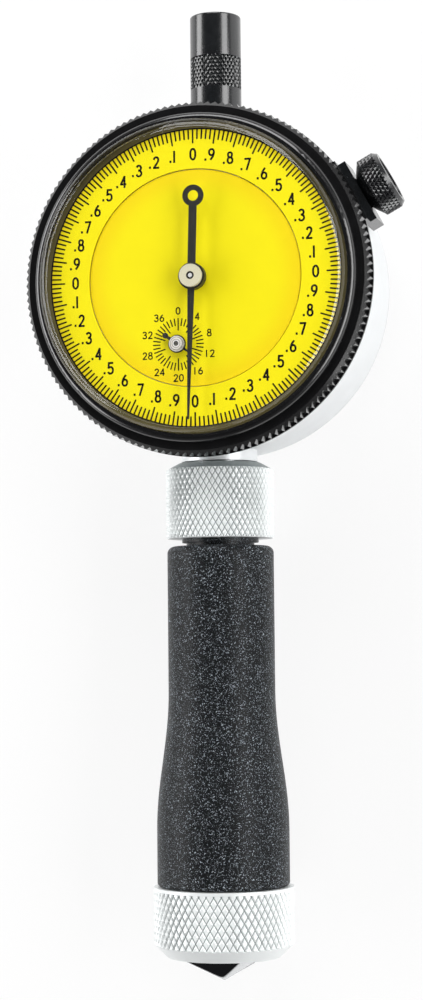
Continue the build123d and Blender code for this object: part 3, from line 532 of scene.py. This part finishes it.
def add_mark(curve, mark, corner, width, height, stroke):
    """One numeral, its box standing on the corner."""
    for kind, points in NUMERALS[mark]:
        places = [corner + Vector((x / 100 * width, y / 100 * height)) for x, y in points]
        if kind == "line":
            for start, end in zip(places, places[1:]):
                add_line(curve, start, end, stroke)
        else:
            add_stroke(curve, places, kind)


def printed_numerals(name, labels, width, height, stroke, face, ink):
    """Numerals as flat strokes of ink; each label is (text, centre).

    A decimal point hangs to the left of a numeral that is centred by itself.
    """
    deselect()
    bpy.ops.curve.primitive_bezier_curve_add()
    piece = named(name)
    curve = piece.data
    curve.splines.clear()
    curve.bevel_depth = stroke / 2
    curve.bevel_resolution = 1
    curve.use_fill_caps = True
    for text, centre in labels:
        marks = text.lstrip(".")
        gap = MARK_GAP * stroke
        step = width + gap
        foot = Vector((centre.x - (len(marks) * step - gap) / 2, centre.y - height / 2))
        for index, mark in enumerate(marks):
            add_mark(curve, mark, foot + Vector((index * step, 0)), width, height, stroke)
        if text != marks:
            narrow = width / 2 if marks == "1" else 0
            point = foot + Vector((narrow - POINT_GAP * height, stroke * POINT_FOOT))
            add_line(curve, point, point + Vector((0, stroke * POINT_LENGTH)), stroke)
    select_only(piece)
    bpy.ops.object.convert(target="MESH")
    flat = Matrix.Scale(ink / stroke, 4, (0, 0, 1))
    piece.data.transform(Matrix.Translation((0, 0, face)) @ flat)
    with Shaping(piece):
        bpy.ops.mesh.normals_make_consistent(inside=False)
    return piece


def division_line(name, centre, outer, length, width, face, ink):
    """One printed line that points away from the centre, with softened ends."""
    deselect()
    place = (centre.x, centre.y + outer - length / 2, face)
    bpy.ops.mesh.primitive_cube_add(size=1, location=place)
    line = named(name)
    line.scale = (width, length, ink)
    settle(line)
    with Shaping(line, "EDGE"):
        mesh = bmesh.from_edit_mesh(line.data)
        for edge in mesh.edges:
            upright = (edge.verts[0].co - edge.verts[1].co).normalized()
            edge.select = abs(upright.z) > UPRIGHT
        mesh.select_flush_mode()
        bmesh.update_edit_mesh(line.data)
        bpy.ops.mesh.bevel(offset=width * LINE_CORNER, segments=1)
    return line


def printed_scale(name, centre, face, outer, count, step, length, long, width, ink):
    """Division lines round a centre, every step-th one longer."""
    short_line = division_line(name, centre, outer, length, width, face, ink)
    long_line = division_line(name, centre, outer, long, width, face, ink)
    lines = turned_copies(short_line, count, centre, lambda index: index % step == 0)
    lines += turned_copies(long_line, count // step, centre)
    return join(lines, name)


def printed_circle(name, centre, radius, width, face, ink):
    deselect()
    bpy.ops.mesh.primitive_torus_add(
        major_segments=256, minor_segments=6, major_radius=radius, minor_radius=width / 2
    )
    circle = named(name)
    circle.scale = (1, 1, ink / width)
    circle.location = (centre.x, centre.y, face)
    settle(circle)
    return circle


def round_dial(centre, radius, texts):
    """Each text with its place, at even steps clockwise from the top."""
    labels = []
    for index, text in enumerate(texts):
        turn = 2 * math.pi * index / len(texts)
        place = (centre.x + radius * math.sin(turn), centre.y + radius * math.cos(turn))
        labels.append((text, Vector(place)))
    return labels


# Finishes

# Turned and ground metals: colour, roughness, metallic share, width of a turning mark and the
# axis that the piece was turned round.
TURNED_METALS = {
    "case_satin": ((0.86, 0.88, 0.89), 0.38, 0.4, 0.08 * MM, "Z"),
    "cover_satin": ((0.80, 0.82, 0.83), 0.34, 0.8, 0.08 * MM, "Z"),
    "stem_steel": ((0.80, 0.81, 0.82), 0.2, 1.0, 0.04 * MM, "Y"),
    "plain_steel": ((0.62, 0.62, 0.63), 0.25, 1.0, 0.05 * MM, "Y"),
    "screw_steel": ((0.70, 0.70, 0.71), 0.24, 1.0, 0.05 * MM, "Z"),
    "spring_blue": ((0.16, 0.18, 0.26), 0.25, 1.0, 0.1 * MM, "Y"),
}

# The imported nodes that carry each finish. The hands keep the black they are packed with.
NODES_BY_FINISH = {
    "wrinkle_paint": ("handle",),
    "collet_black": ("collet",),
    "anvil_aluminium": ("anvil_collar",),
    "collar_aluminium": ("clamp_collar",),
    "black_oxide": ("top_cap", "clamp_bar", "thumb_screw"),
    "bezel_black": ("bezel",),
    "case_satin": ("case",),
    "cover_satin": ("back_cover",),
    "stem_steel": ("stem", "lower_bushing", "upper_bushing"),
    "ground_cone": ("plunger",),
    "plain_steel": (
        "plunger_rod", "stop_ring", "contact_point", "rack_spindle", "guide_pin", "spring_pin",
        "pillars", "spring_post", "counter_arbor", "takeup_arbor",
    ),
    "screw_steel": ("back_screws", "plate_screws", "mount_screws", "bridge_screws"),
    "spring_blue": ("plunger_spring", "return_spring", "hairspring", "bezel_spring"),
    "movement_brass": (
        "lower_plate", "upper_plate", "rack_bridge", "main_gear", "takeup_gear", "arbor_bushes",
        "hairspring_stud", "plunger_bush",
    ),
    "ring_yellow": ("dial_ring",),
    "disc_yellow": ("inner_dial",),
    "hub_cream": ("hub_disc",),
    "hub_turned": ("counter_hub",),
    "arbor_tip": ("centre_arbor",),
    "clear_crystal": ("crystal",),
}

# Where a finish changes, from the start of the step to its end: the dials' painted edge shade,
# the hub disc's painted hole shade, the arbor tip's ring of painted hole shade, the counter's pin
# and the cone's lands, which part bright metal from flutes in painted shade. Then the width of a
# turned ring, a soft border, and the radius that the cone gains for its height.
FADES = {"ring_yellow": (22 * MM, 25 * MM), "disc_yellow": (13 * MM, 17.4 * MM)}
# Painted shade in the hub disc's hole round the arbor.
HUB_HOLE_SHADE = (0.62 * MM, 0.65 * MM)
# Painted shade round the arbor's tip, where it passes through the hub disc.
TIP_RING = ((0.32 * MM, 0.36 * MM), (0.64 * MM, 0.66 * MM))
COUNTER_PIN = (0.28 * MM, 0.34 * MM)
LAND = (-0.18 * MM, -0.02 * MM)
TURNED_RING = 0.06 * MM
BORDER = 0.1 * MM
CONE_SLOPE = 2.0


class Signal:
    """A shader value that takes part in sums, so that shader maths reads as Python."""

    def __init__(self, finish, socket):
        self.finish = finish
        self.socket = socket

    def maths(self, operation, *values):
        sockets = dict(enumerate(values))
        return self.finish.node("ShaderNodeMath", {"operation": operation}, sockets)

    def maximum(self, other):
        return self.maths("MAXIMUM", self, other)

    def sine(self):
        return self.maths("SINE", self)

    def __add__(self, other):
        return self.maths("ADD", self, other)

    def __sub__(self, other):
        return self.maths("SUBTRACT", self, other)

    def __rsub__(self, other):
        return self.maths("SUBTRACT", other, self)

    def __mul__(self, other):
        return self.maths("MULTIPLY", self, other)

    def __truediv__(self, other):
        return self.maths("DIVIDE", self, other)

    __radd__ = __add__


class Shader:
    """A node tree of a material or of the room, filled from Python."""

    def __init__(self, owner):
        owner.use_nodes = True
        self.tree = owner.node_tree
        self.tree.nodes.clear()

    def node(self, kind, settings=(), sockets=(), output=0):
        """Add a node: its settings first, then the values or links of its sockets."""
        made = self.tree.nodes.new(kind)
        for field, value in dict(settings).items():
            setattr(made, field, value)
        for key, value in dict(sockets).items():
            if isinstance(value, Signal):
                self.tree.links.new(value.socket, made.inputs[key])
            else:
                made.inputs[key].default_value = value
        return Signal(self, made.outputs[output])

    def step(self, value, low, high):
        """0 below low, 1 above high and smooth between."""
        sockets = {"Value": value, "From Min": low, "From Max": high}
        return self.node("ShaderNodeMapRange", {"interpolation_type": "SMOOTHSTEP"}, sockets)

    def band(self, value, rise, fall):
        """1 from the end of the rise to the start of the fall, 0 outside both."""
        return self.step(value, *rise) * (1 - self.step(value, *fall))

    def blend(self, mask, first, second):
        """A value that goes from the first to the second with the mask."""
        return self.node("ShaderNodeMix", {}, {0: mask, 2: first, 3: second})

    def ray(self, kind):
        return self.node("ShaderNodeLightPath", output=f"Is {kind} Ray")

    def show(self, shader, output="ShaderNodeOutputMaterial"):
        end = self.tree.nodes.new(output)
        self.tree.links.new(shader.socket, end.inputs["Surface"])


class Finish(Shader):
    """One procedural material, in the coordinates of the whole gauge."""

    def __init__(self, name):
        self.material = bpy.data.materials.new(name)
        super().__init__(self.material)
        self.place = self.node("ShaderNodeTexCoord", output="Object")

    def show(self, shader):
        """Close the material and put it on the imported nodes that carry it."""
        super().show(shader)
        for node in NODES_BY_FINISH.get(self.material.name, ()):
            for slot in frame["nodes"][node].material_slots:
                slot.material = self.material

    def moved(self, shift=(0, 0, 0), scale=(1, 1, 1)):
        """Object coordinates from another centre or stretched."""
        sockets = {"Vector": self.place, "Location": shift, "Scale": scale}
        return self.node("ShaderNodeMapping", {}, sockets)

    def noise(self, grain, place=None, detail=2.0, distortion=0.0):
        sockets = {
            "Vector": place or self.place, "Scale": 1 / grain, "Detail": detail,
            "Distortion": distortion,
        }
        return self.node("ShaderNodeTexNoise", {}, sockets)

    def mix(self, mask, first, second):
        """A colour that goes from the first to the second with the mask."""
        sockets = {0: mask}
        for key, colour in ((6, first), (7, second)):
            sockets[key] = colour if isinstance(colour, Signal) else (*colour[:3], 1)
        return self.node("ShaderNodeMix", {"data_type": "RGBA"}, sockets, 2)

    def mottled(self, marks, colour):
        """A metal's colour, uneven along its marks and in a faint cloud."""
        cloud = self.noise(3 * MM, detail=2.0)
        return self.mix(marks * 0.5 + cloud * 0.5, lighter(colour, 0.9), colour)

    def bump(self, height, distance):
        sockets = {"Height": height, "Distance": distance}
        return self.node("ShaderNodeBump", {}, sockets)

    def length_of(self, vector):
        return self.node("ShaderNodeVectorMath", {"operation": "LENGTH"}, {0: vector}, "Value")

    def distance_from(self, centre):
        """Distance from an axis along Z."""
        return self.length_of(self.moved(shift=(-centre.x, -centre.y, 0), scale=(1, 1, 0)))

    def from_plunger_axis(self):
        """Distance from the plunger axis."""
        return self.length_of(self.moved(scale=(1, 0, 1)))

    def along_plunger_axis(self):
        """Place along the plunger axis."""
        return self.node("ShaderNodeSeparateXYZ", {}, {0: self.place}, 1)

    def surface(self, colour, roughness, **sockets):
        """The shader itself; a socket's name has spaces for its underscores."""
        values = {key.replace("_", " "): value for key, value in sockets.items()}
        values["Base Color"] = colour if isinstance(colour, Signal) else (*colour[:3], 1)
        values["Roughness"] = roughness
        return self.node("ShaderNodeBsdfPrincipled", {}, values)


def lighter(colour, amount):
    return tuple(min(1.0, channel * amount) for channel in colour[:3])


def wrinkle_paint(colours):
    """Baked wrinkle paint: fine crests with a painted dull glint over black hollows."""
    finish = Finish("wrinkle_paint")
    grain = colours.paint_grain
    warp = finish.noise(grain * 1.6, detail=1.0)
    worms = finish.noise(grain, detail=3.0, distortion=0.9)
    crest = finish.step(worms * 0.8 + warp * 0.2, 0.5, 0.6)
    glint = finish.step(finish.noise(grain * 0.8, detail=1.0), 0.53, 0.62)
    # Painted highlight: where a crest meets the glint mask it is coloured pale blue-grey.
    colour = finish.mix(crest * glint, colours.paint, colours.paint_crest)
    normal = finish.bump(crest, 0.12 * MM)
    finish.show(finish.surface(colour, 0.4 + glint * 0.1, Normal=normal, Specular_IOR_Level=0.2))


def dark_wrinkle(colours):
    """The same paint, thinner and darker, on the collet's neck, with painted sparkle."""
    finish = Finish("collet_black")
    grain = colours.paint_grain
    sparkle = finish.step(finish.noise(grain * 0.8, detail=2.0), 0.55, 0.68)
    # Painted highlight: the sparkle is a dimmed copy of the handle's painted glint.
    colour = finish.mix(sparkle, colours.black, lighter(colours.paint_crest, 0.6))
    normal = finish.bump(sparkle, 0.05 * MM)
    finish.show(finish.surface(colour, 0.36, Normal=normal, Specular_IOR_Level=0.3))


def turned_metal(name, colour, roughness, metallic, line, axis):
    """Metal with fine turning marks in rings round the axis, and a faint cloud of tone."""
    finish = Finish(name)
    scale = [0.02, 0.02, 0.02]
    scale["XYZ".index(axis)] = 1.0
    marks = finish.noise(line, finish.moved(scale=scale), detail=3.0)
    rough = roughness - 0.06 + marks * 0.12
    normal = finish.bump(marks, 0.002 * MM)
    tone = finish.mottled(marks, colour)
    finish.show(finish.surface(tone, rough, Metallic=metallic, Normal=normal))


def knurled_aluminium(name, node, colours, depth, low, high):
    """Bright aluminium; painted shade below its crests between two levels of the plunger axis."""
    finish = Finish(name)
    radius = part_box(node)[1].x
    marks = finish.noise(0.05 * MM, finish.moved(scale=(0.02, 1, 0.02)), detail=3.0)
    level = finish.along_plunger_axis()
    band = finish.band(level, (low, low + BORDER), (high - BORDER, high))
    reach = finish.from_plunger_axis()
    # Painted shade: below the crests the grooves are coloured dark grey.
    groove = 1 - finish.step(reach, radius - depth * 1.1, radius - depth * 0.75)
    metal = finish.mottled(marks, colours.aluminium)
    colour = finish.mix(groove * band, metal, colours.groove)
    normal = finish.bump(marks, 0.002 * MM)
    finish.show(finish.surface(colour, 0.28 + marks * 0.12, Metallic=0.1, Normal=normal))


def black_oxide(colours):
    """Blackened steel: a thin dark layer with a soft metallic sheen."""
    finish = Finish("black_oxide")
    cloud = finish.noise(1.2 * MM, detail=4.0)
    fine = finish.noise(0.15 * MM, detail=2.0)
    colour = finish.mix(cloud, lighter(colours.black, 0.7), lighter(colours.black, 1.5))
    rough = 0.2 + cloud * 0.1
    normal = finish.bump(fine, 0.002 * MM)
    finish.show(
        finish.surface(colour, rough, Normal=normal, IOR=1.7, Coat_Weight=0.3, Coat_Roughness=0.1)
    )


def black_enamel():
    """The bezel's black: smooth, glossy and faintly uneven."""
    finish = Finish("bezel_black")
    cloud = finish.noise(2.5 * MM, detail=3.0)
    worn = finish.noise(0.3 * MM, detail=2.0)
    colour = finish.mix(cloud, (0.004, 0.004, 0.004), (0.010, 0.010, 0.011))
    rough = 0.16 + worn * 0.12
    finish.show(finish.surface(colour, rough, IOR=1.6, Coat_Weight=0.4, Coat_Roughness=0.06))


def dial_paint(name, colours):
    """Yellow dial lacquer, with painted shade towards its edges and past its printed edge line."""
    finish = Finish(name)
    cloud = finish.noise(5 * MM, detail=2.0)
    speck = finish.noise(0.12 * MM, detail=2.0)
    reach = finish.distance_from(DIAL_CENTRE)
    # Painted shade: the yellow deepens towards the edges, shaded by the bezel's lip and the ring's
    # step.
    edge = finish.step(reach, *FADES[name])
    plain = finish.mix(cloud, lighter(colours.dial, 0.97), lighter(colours.dial, 1.03))
    paint = finish.mix(edge * 0.7, plain, colours.dial_edge)
    # Painted shade: past the printed edge line the ring takes a dark olive shade.
    line = bpy.context.scene.gauge_scales.edge_radius
    rim_shade = finish.step(reach, line, line + BORDER)
    colour = finish.mix(rim_shade, paint, colours.dial_seat)
    normal = finish.bump(speck, 0.001 * MM)
    rough = 0.42 + speck * 0.1
    finish.show(finish.surface(colour, rough, Normal=normal, Specular_IOR_Level=0.25))


def scale_ink(colours):
    """Black print with a faint unevenness."""
    finish = Finish("scale_ink")
    cloud = finish.noise(0.4 * MM, detail=2.0)
    tone = finish.mix(cloud, lighter(colours.ink, 0.7), lighter(colours.ink, 1.3))
    finish.show(finish.surface(tone, 0.5 + cloud * 0.08, Specular_IOR_Level=0.1))


def hub_cream(colours):
    """The cream hub disc, with painted shade in the hole round the arbor's tip."""
    finish = Finish("hub_cream")
    reach = finish.distance_from(DIAL_CENTRE)
    # Painted shade: the hole round the arbor is coloured with the ink's black.
    hole_shade = 1 - finish.step(reach, *HUB_HOLE_SHADE)
    cloud = finish.noise(0.6 * MM, detail=2.0)
    cream = finish.mix(cloud, lighter(colours.cream, 0.93), colours.cream)
    finish.show(finish.surface(finish.mix(hole_shade, cream, colours.ink), 0.38))


def arbor_tip(colours):
    """The centre arbor: pale ground steel, with painted shade in a ring round its tip."""
    finish = Finish("arbor_tip")
    reach = finish.distance_from(DIAL_CENTRE)
    # Painted shade: the ring round the tip's centre is coloured with the ink's black.
    ring = finish.band(reach, *TIP_RING)
    marks = finish.noise(0.2 * MM, detail=2.0)
    steel = finish.mix(marks, (0.66, 0.66, 0.65), (0.84, 0.84, 0.82))
    finish.show(finish.surface(finish.mix(ring, steel, colours.ink), 0.3, Metallic=0.1))


def hub_turned():
    """The counter's turned hub: bright rings round a brown pin."""
    finish = Finish("hub_turned")
    reach = finish.distance_from(COUNTER_CENTRE)
    shade = finish.step((reach / TURNED_RING).sine(), -0.4, 0.6)
    pin = 1 - finish.step(reach, *COUNTER_PIN)
    turned = finish.mix(shade, (0.62, 0.58, 0.52), (0.90, 0.88, 0.84))
    brown = (0.16, 0.05, 0.035)
    colour = finish.mix(pin, turned, brown)
    finish.show(finish.surface(colour, 0.25 + shade * 0.1, Metallic=0.2))


def ground_cone():
    """The plunger: flutes in painted shade, near black, between bright ground lands."""
    finish = Finish("ground_cone")
    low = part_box("plunger")[0]
    cone = (finish.along_plunger_axis() - low.y) * CONE_SLOPE
    land = finish.step(finish.from_plunger_axis() - cone, *LAND)
    marks = finish.noise(0.2 * MM, detail=3.0)
    # Painted shade: the flutes below the cone's surface are coloured near black.
    dark = finish.mix(marks, (0.006, 0.006, 0.007), (0.02, 0.02, 0.022))
    bright = finish.mix(marks, (0.72, 0.74, 0.75), (0.9, 0.91, 0.92))
    colour = finish.mix(land, dark, bright)
    finish.show(
        finish.surface(colour, 0.3 - land * 0.12, Metallic=land * 0.6, Specular_IOR_Level=0.0)
    )


def clear_crystal():
    """Clear acrylic: a glossy skin over a body that hardly bends the view.

    Light that only passes to or from the dial goes straight through, so it is counted once.
    """
    finish = Finish("clear_crystal")
    haze = finish.step(finish.noise(4 * MM, detail=3.0), 0.5, 0.9)
    body = finish.surface(
        (0.99, 0.995, 1.0), 0.01 + haze * 0.02, IOR=1.01, Transmission_Weight=1.0,
        Coat_Weight=1.0, Coat_Roughness=0.01,
    )
    clear = finish.node("ShaderNodeBsdfTransparent")
    mask = finish.ray("Shadow").maximum(finish.ray("Diffuse"))
    finish.show(finish.node("ShaderNodeMixShader", {}, {0: mask, 1: body, 2: clear}))


class GAUGE_OT_handle_finish(bpy.types.Operator):
    """Paint the handle and blacken the collet"""

    bl_idname = "gauge.handle_finish"
    bl_label = "Handle paint"

    def execute(self, context):
        colours = context.scene.gauge_colours
        wrinkle_paint(colours)
        dark_wrinkle(colours)
        return {"FINISHED"}


class GAUGE_OT_metal_finishes(bpy.types.Operator):
    """Finish the aluminium, steel, brass and blackened pieces"""

    bl_idname = "gauge.metal_finishes"
    bl_label = "Metals"

    def execute(self, context):
        colours = context.scene.gauge_colours
        knurls = context.scene.gauge_knurls
        low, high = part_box("anvil_collar")
        knurled_aluminium(
            "anvil_aluminium", "anvil_collar", colours, knurls.anvil_depth,
            low.y + ANVIL_CHAMFER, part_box("handle")[0].y - knurls.anvil_rim,
        )
        low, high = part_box("clamp_collar")
        knurled_aluminium(
            "collar_aluminium", "clamp_collar", colours, knurls.collar_depth, low.y, high.y + CLEAR
        )
        for name, look in TURNED_METALS.items():
            turned_metal(name, *look)
        turned_metal("movement_brass", colours.brass, 0.28, 1.0, 0.06 * MM, "X")
        black_oxide(colours)
        black_enamel()
        ground_cone()
        return {"FINISHED"}


class GAUGE_OT_dial_finishes(bpy.types.Operator):
    """Finish the dials, their print, the hubs and the crystal"""

    bl_idname = "gauge.dial_finishes"
    bl_label = "Dials and crystal"

    def execute(self, context):
        colours = context.scene.gauge_colours
        for name in FADES:
            dial_paint(name, colours)
        scale_ink(colours)
        hub_cream(colours)
        hub_turned()
        clear_crystal()
        arbor_tip(colours)
        return {"FINISHED"}


class GAUGE_OT_anvil_knurl(bpy.types.Operator):
    """Knurl the anvil below its plain rim"""

    bl_idname = "gauge.anvil_knurl"
    bl_label = "Anvil knurl"

    def execute(self, context):
        low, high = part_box("anvil_collar")
        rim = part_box("handle")[0].y - context.scene.gauge_knurls.anvil_rim
        bar = knurled_bar(
            "anvil", high.x, low.y - CLEAR, rim, low.y - 2 * CLEAR, high.y + CLEAR, CLEAR
        )
        piece = cut_from_node("anvil_knurled", "anvil_collar", bar, along_plunger())
        finish_piece(piece, "anvil_aluminium", "anvil", "knurled_aluminium", "anvil_collar")
        return {"FINISHED"}


class GAUGE_OT_collar_knurl(bpy.types.Operator):
    """Knurl the clamping collar over its whole length"""

    bl_idname = "gauge.collar_knurl"
    bl_label = "Collar knurl"

    def execute(self, context):
        low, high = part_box("clamp_collar")
        bar = knurled_bar(
            "collar", high.x, low.y - CLEAR, high.y + CLEAR, low.y - 2 * CLEAR, high.y + 2 * CLEAR
        )
        piece = cut_from_node("clamp_collar_knurled", "clamp_collar", bar, along_plunger())
        finish_piece(piece, "collar_aluminium", "collar", "knurled_aluminium", "clamp_collar")
        return {"FINISHED"}


class GAUGE_OT_cap_knurl(bpy.types.Operator):
    """Knurl the band round the spindle cap"""

    bl_idname = "gauge.cap_knurl"
    bl_label = "Cap knurl"

    def execute(self, context):
        sizes = context.scene.gauge_knurls
        low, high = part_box("top_cap")
        bar = knurled_bar(
            "cap", high.x, sizes.cap_band_low, sizes.cap_band_high, low.y - CLEAR, high.y + CLEAR,
            CLEAR,
        )
        piece = cut_from_node("top_cap_knurled", "top_cap", bar, along_plunger())
        finish_piece(piece, "black_oxide", "cap", "blackened_steel", "top_cap")
        return {"FINISHED"}


class GAUGE_OT_thumb_knurl(bpy.types.Operator):
    """Knurl the head of the bezel clamp's thumb screw"""

    bl_idname = "gauge.thumb_knurl"
    bl_label = "Thumb screw knurl"

    def execute(self, context):
        placement = along_thumb_screw()
        screw = frame["nodes"]["thumb_screw"].data
        head = [placement.inverted() @ vertex.co for vertex in screw.vertices]
        radius = max(math.hypot(point.x, point.y) for point in head)
        start = min(point.z for point in head)
        end = max(point.z for point in head)
        bar = knurled_bar(
            "thumb", radius, start - CLEAR, end + CLEAR, start - 2 * CLEAR, end + 2 * CLEAR
        )
        piece = cut_from_node("thumb_screw_knurled", "thumb_screw", bar, placement)
        finish_piece(piece, "black_oxide", "clamp_screw", "blackened_steel", "thumb_screw")
        return {"FINISHED"}


class GAUGE_OT_crystal(bpy.types.Operator):
    """Smooth the crystal, so that the dial is seen through it without waves"""

    bl_idname = "gauge.crystal"
    bl_label = "Crystal"

    def execute(self, context):
        piece = copy_of_node("crystal_smooth", "crystal")
        smooth(piece, 35)
        apply_modifier(piece, "WEIGHTED_NORMAL", keep_sharp=True, weight=100)
        finish_piece(piece, "clear_crystal", "bezel_group", "crystal_clear", "crystal")
        return {"FINISHED"}


class GAUGE_OT_plunger_spring(bpy.types.Operator):
    """Copy the plunger's spring as a smoothed coil with a mesh of its own"""

    bl_idname = "gauge.plunger_spring"
    bl_label = "Plunger spring"

    def execute(self, context):
        piece = copy_of_node("plunger_spring_coil", "plunger_spring")
        smooth(piece, 60)
        finish_piece(piece, "spring_blue", "frame", "spring_steel", "plunger_spring")
        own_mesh(piece)
        return {"FINISHED"}


class GAUGE_OT_dial_print(bpy.types.Operator):
    """Print the scale, its line and its numerals on the turning dial"""

    bl_idname = "gauge.dial_print"
    bl_label = "Dial print"

    def execute(self, context):
        sizes = context.scene.gauge_scales
        scale = printed_scale(
            "dial_divisions", DIAL_CENTRE, DIAL_FACE, sizes.edge_radius, sizes.division_count,
            sizes.division_step, sizes.division_length, sizes.division_long,
            sizes.division_width, sizes.ink,
        )
        edge = printed_circle(
            "dial_edge_line", DIAL_CENTRE, sizes.edge_radius, sizes.edge_width, DIAL_FACE,
            sizes.ink,
        )
        readings = [-index % 10 for index in range(sizes.numeral_count)]
        texts = [f".{reading}" if reading else "0" for reading in readings]
        numerals = printed_numerals(
            "dial_numerals", round_dial(DIAL_CENTRE, sizes.numeral_radius, texts),
            sizes.numeral_width, sizes.numeral_height, sizes.numeral_stroke, DIAL_FACE, sizes.ink,
        )
        for piece in (scale, edge, numerals):
            finish_piece(piece, "scale_ink", "bezel_group", "hand_black")
        return {"FINISHED"}


class GAUGE_OT_counter_print(bpy.types.Operator):
    """Print the turn counter's scale and numerals on the inner dial"""

    bl_idname = "gauge.counter_print"
    bl_label = "Counter print"

    def execute(self, context):
        sizes = context.scene.gauge_scales
        scale = printed_scale(
            "counter_divisions", COUNTER_CENTRE, INNER_FACE, sizes.counter_outer,
            sizes.counter_count, sizes.counter_step, sizes.counter_length, sizes.counter_long,
            sizes.counter_width, sizes.ink,
        )
        texts = [str(index) for index in range(0, sizes.counter_count, sizes.counter_step)]
        numerals = printed_numerals(
            "counter_numerals", round_dial(COUNTER_CENTRE, sizes.counter_numeral_radius, texts),
            sizes.counter_numeral_width, sizes.counter_numeral_height,
            sizes.counter_numeral_stroke, INNER_FACE, sizes.ink,
        )
        for piece in (scale, numerals):
            finish_piece(piece, "scale_ink", "frame", "hand_black")
        return {"FINISHED"}


def soft_box(name, place, width, length, radiance):
    """A soft box of a given radiance, aimed at the gauge, its length along the plunger axis."""
    lamp = bpy.data.lights.new(name, "AREA")
    lamp.shape = "RECTANGLE"
    lamp.size = width
    lamp.size_y = length
    lamp.energy = radiance * width * length * math.pi
    holder = bpy.data.objects.new(name, lamp)
    back = (Vector(place) - Vector(LAMPS_AIM)).normalized()
    side = Vector((0, 1, 0)).cross(back).normalized()
    up = back.cross(side)
    turn = Matrix((side, up, back)).transposed().to_4x4()
    holder.matrix_world = Matrix.Translation(place) @ turn
    bpy.context.scene.collection.objects.link(holder)


def studio_camera(settings):
    """The camera, placed and turned by its settings."""
    yaw, pitch, roll = settings.camera_yaw, settings.camera_pitch, settings.camera_roll
    level = math.cos(pitch)
    ahead = Vector((-math.sin(yaw) * level, math.sin(pitch), -math.cos(yaw) * level))
    side = ahead.cross(Vector((0, 1, 0))).normalized()
    up = side.cross(ahead)
    rolled_side = math.cos(roll) * side + math.sin(roll) * up
    rolled_up = math.cos(roll) * up - math.sin(roll) * side
    lens = bpy.data.cameras.new("camera")
    lens.sensor_fit = "VERTICAL"
    lens.sensor_height = SENSOR
    lens.lens = settings.camera_lens
    lens.clip_start = 0.01
    lens.clip_end = 20
    camera = bpy.data.objects.new("camera", lens)
    pose = Matrix((rolled_side, rolled_up, -ahead)).transposed().to_4x4()
    camera.matrix_world = Matrix.Translation(settings.camera_place) @ pose
    bpy.context.scene.collection.objects.link(camera)
    bpy.context.scene.camera = camera


def studio_room(settings):
    """A white background, also in mirrors; soft light from the walls and a dark room in front."""
    world = bpy.data.worlds.new("studio")
    room = Shader(world)
    way = room.node("ShaderNodeTexCoord", output="Generated")
    ahead = room.node("ShaderNodeSeparateXYZ", {}, {0: way}, "Z")
    front = room.step(ahead, *ROOM_FRONT)
    light = room.blend(front, settings.room_strength, settings.front_strength)
    behind = 1 - room.step(ahead, *ROOM_BACK)
    mirrored = room.ray("Glossy").maximum(room.ray("Transmission")) * behind
    strength = room.blend(room.ray("Camera").maximum(mirrored), light, 1.0)
    background = room.node("ShaderNodeBackground", {}, {"Strength": strength})
    room.show(background, "ShaderNodeOutputWorld")
    bpy.context.scene.world = world


def studio_floor(level):
    """White paper that shows as plain white and keeps a little of the gauge's shadow."""
    deselect()
    bpy.ops.mesh.primitive_plane_add(size=FLOOR_SIZE, location=(0, 0, level))
    floor = named("floor")
    settle(floor)
    with Shaping(floor):
        bpy.ops.mesh.subdivide(number_cuts=3)
    finish = Finish("floor_white")
    paper = finish.surface((0.93, 0.93, 0.93), 0.9)
    glow = finish.node("ShaderNodeEmission", {}, {"Color": (1, 1, 1, 1), "Strength": 1.0})
    seen = finish.ray("Camera").maximum(finish.ray("Glossy"))
    seen = seen.maximum(finish.ray("Transmission"))
    finish.show(finish.node("ShaderNodeMixShader", {}, {0: seen * FLOOR_GLOW, 1: paper, 2: glow}))
    floor.data.materials.append(finish.material)


class GAUGE_OT_stage(bpy.types.Operator):
    """Set the floor, the lamps and the camera"""

    bl_idname = "gauge.stage"
    bl_label = "Studio"

    def execute(self, context):
        settings = context.scene.gauge_studio
        studio_camera(settings)
        studio_room(settings)
        studio_floor(CAD_BOX[0][2])
        for name, (place, width, length) in SOFT_BOXES.items():
            soft_box(name, place, width, length, settings.lamp_strength)
        context.scene.view_settings.view_transform = "Standard"
        return {"FINISHED"}


class GAUGE_PT_panel(bpy.types.Panel):
    """Lists the gauge's steps and settings"""

    bl_label = "Chamfer gauge"
    bl_idname = "GAUGE_PT_panel"
    bl_space_type = "VIEW_3D"
    bl_region_type = "UI"
    bl_category = "Gauge"

    def draw(self, context):
        for operator in OPERATORS:
            self.layout.operator(operator.bl_idname)
        for group in SETTINGS:
            settings = getattr(context.scene, group)
            box = self.layout.box()
            for field in settings.bl_rna.properties.keys():
                if field not in ("rna_type", "name"):
                    box.prop(settings, field)


SETTINGS = {
    "gauge_knurls": KnurlSizes,
    "gauge_scales": ScaleSizes,
    "gauge_colours": FinishColours,
    "gauge_studio": StudioSettings,
}
OPERATORS = (
    GAUGE_OT_handle_finish,
    GAUGE_OT_metal_finishes,
    GAUGE_OT_dial_finishes,
    GAUGE_OT_anvil_knurl,
    GAUGE_OT_collar_knurl,
    GAUGE_OT_cap_knurl,
    GAUGE_OT_thumb_knurl,
    GAUGE_OT_crystal,
    GAUGE_OT_plunger_spring,
    GAUGE_OT_dial_print,
    GAUGE_OT_counter_print,
    GAUGE_OT_stage,
)


def register():
    for kind in (*SETTINGS.values(), *OPERATORS, GAUGE_PT_panel):
        bpy.utils.register_class(kind)
    for name, kind in SETTINGS.items():
        setattr(bpy.types.Scene, name, PointerProperty(type=kind))


def unregister():
    for name in SETTINGS:
        delattr(bpy.types.Scene, name)
    for kind in (GAUGE_PT_panel, *reversed(OPERATORS), *reversed(SETTINGS.values())):
        bpy.utils.unregister_class(kind)


def main():
    register()
    for operator in OPERATORS:
        group, name = operator.bl_idname.split(".")
        getattr(getattr(bpy.ops, group), name)()


if __name__ == "__main__":
    main()
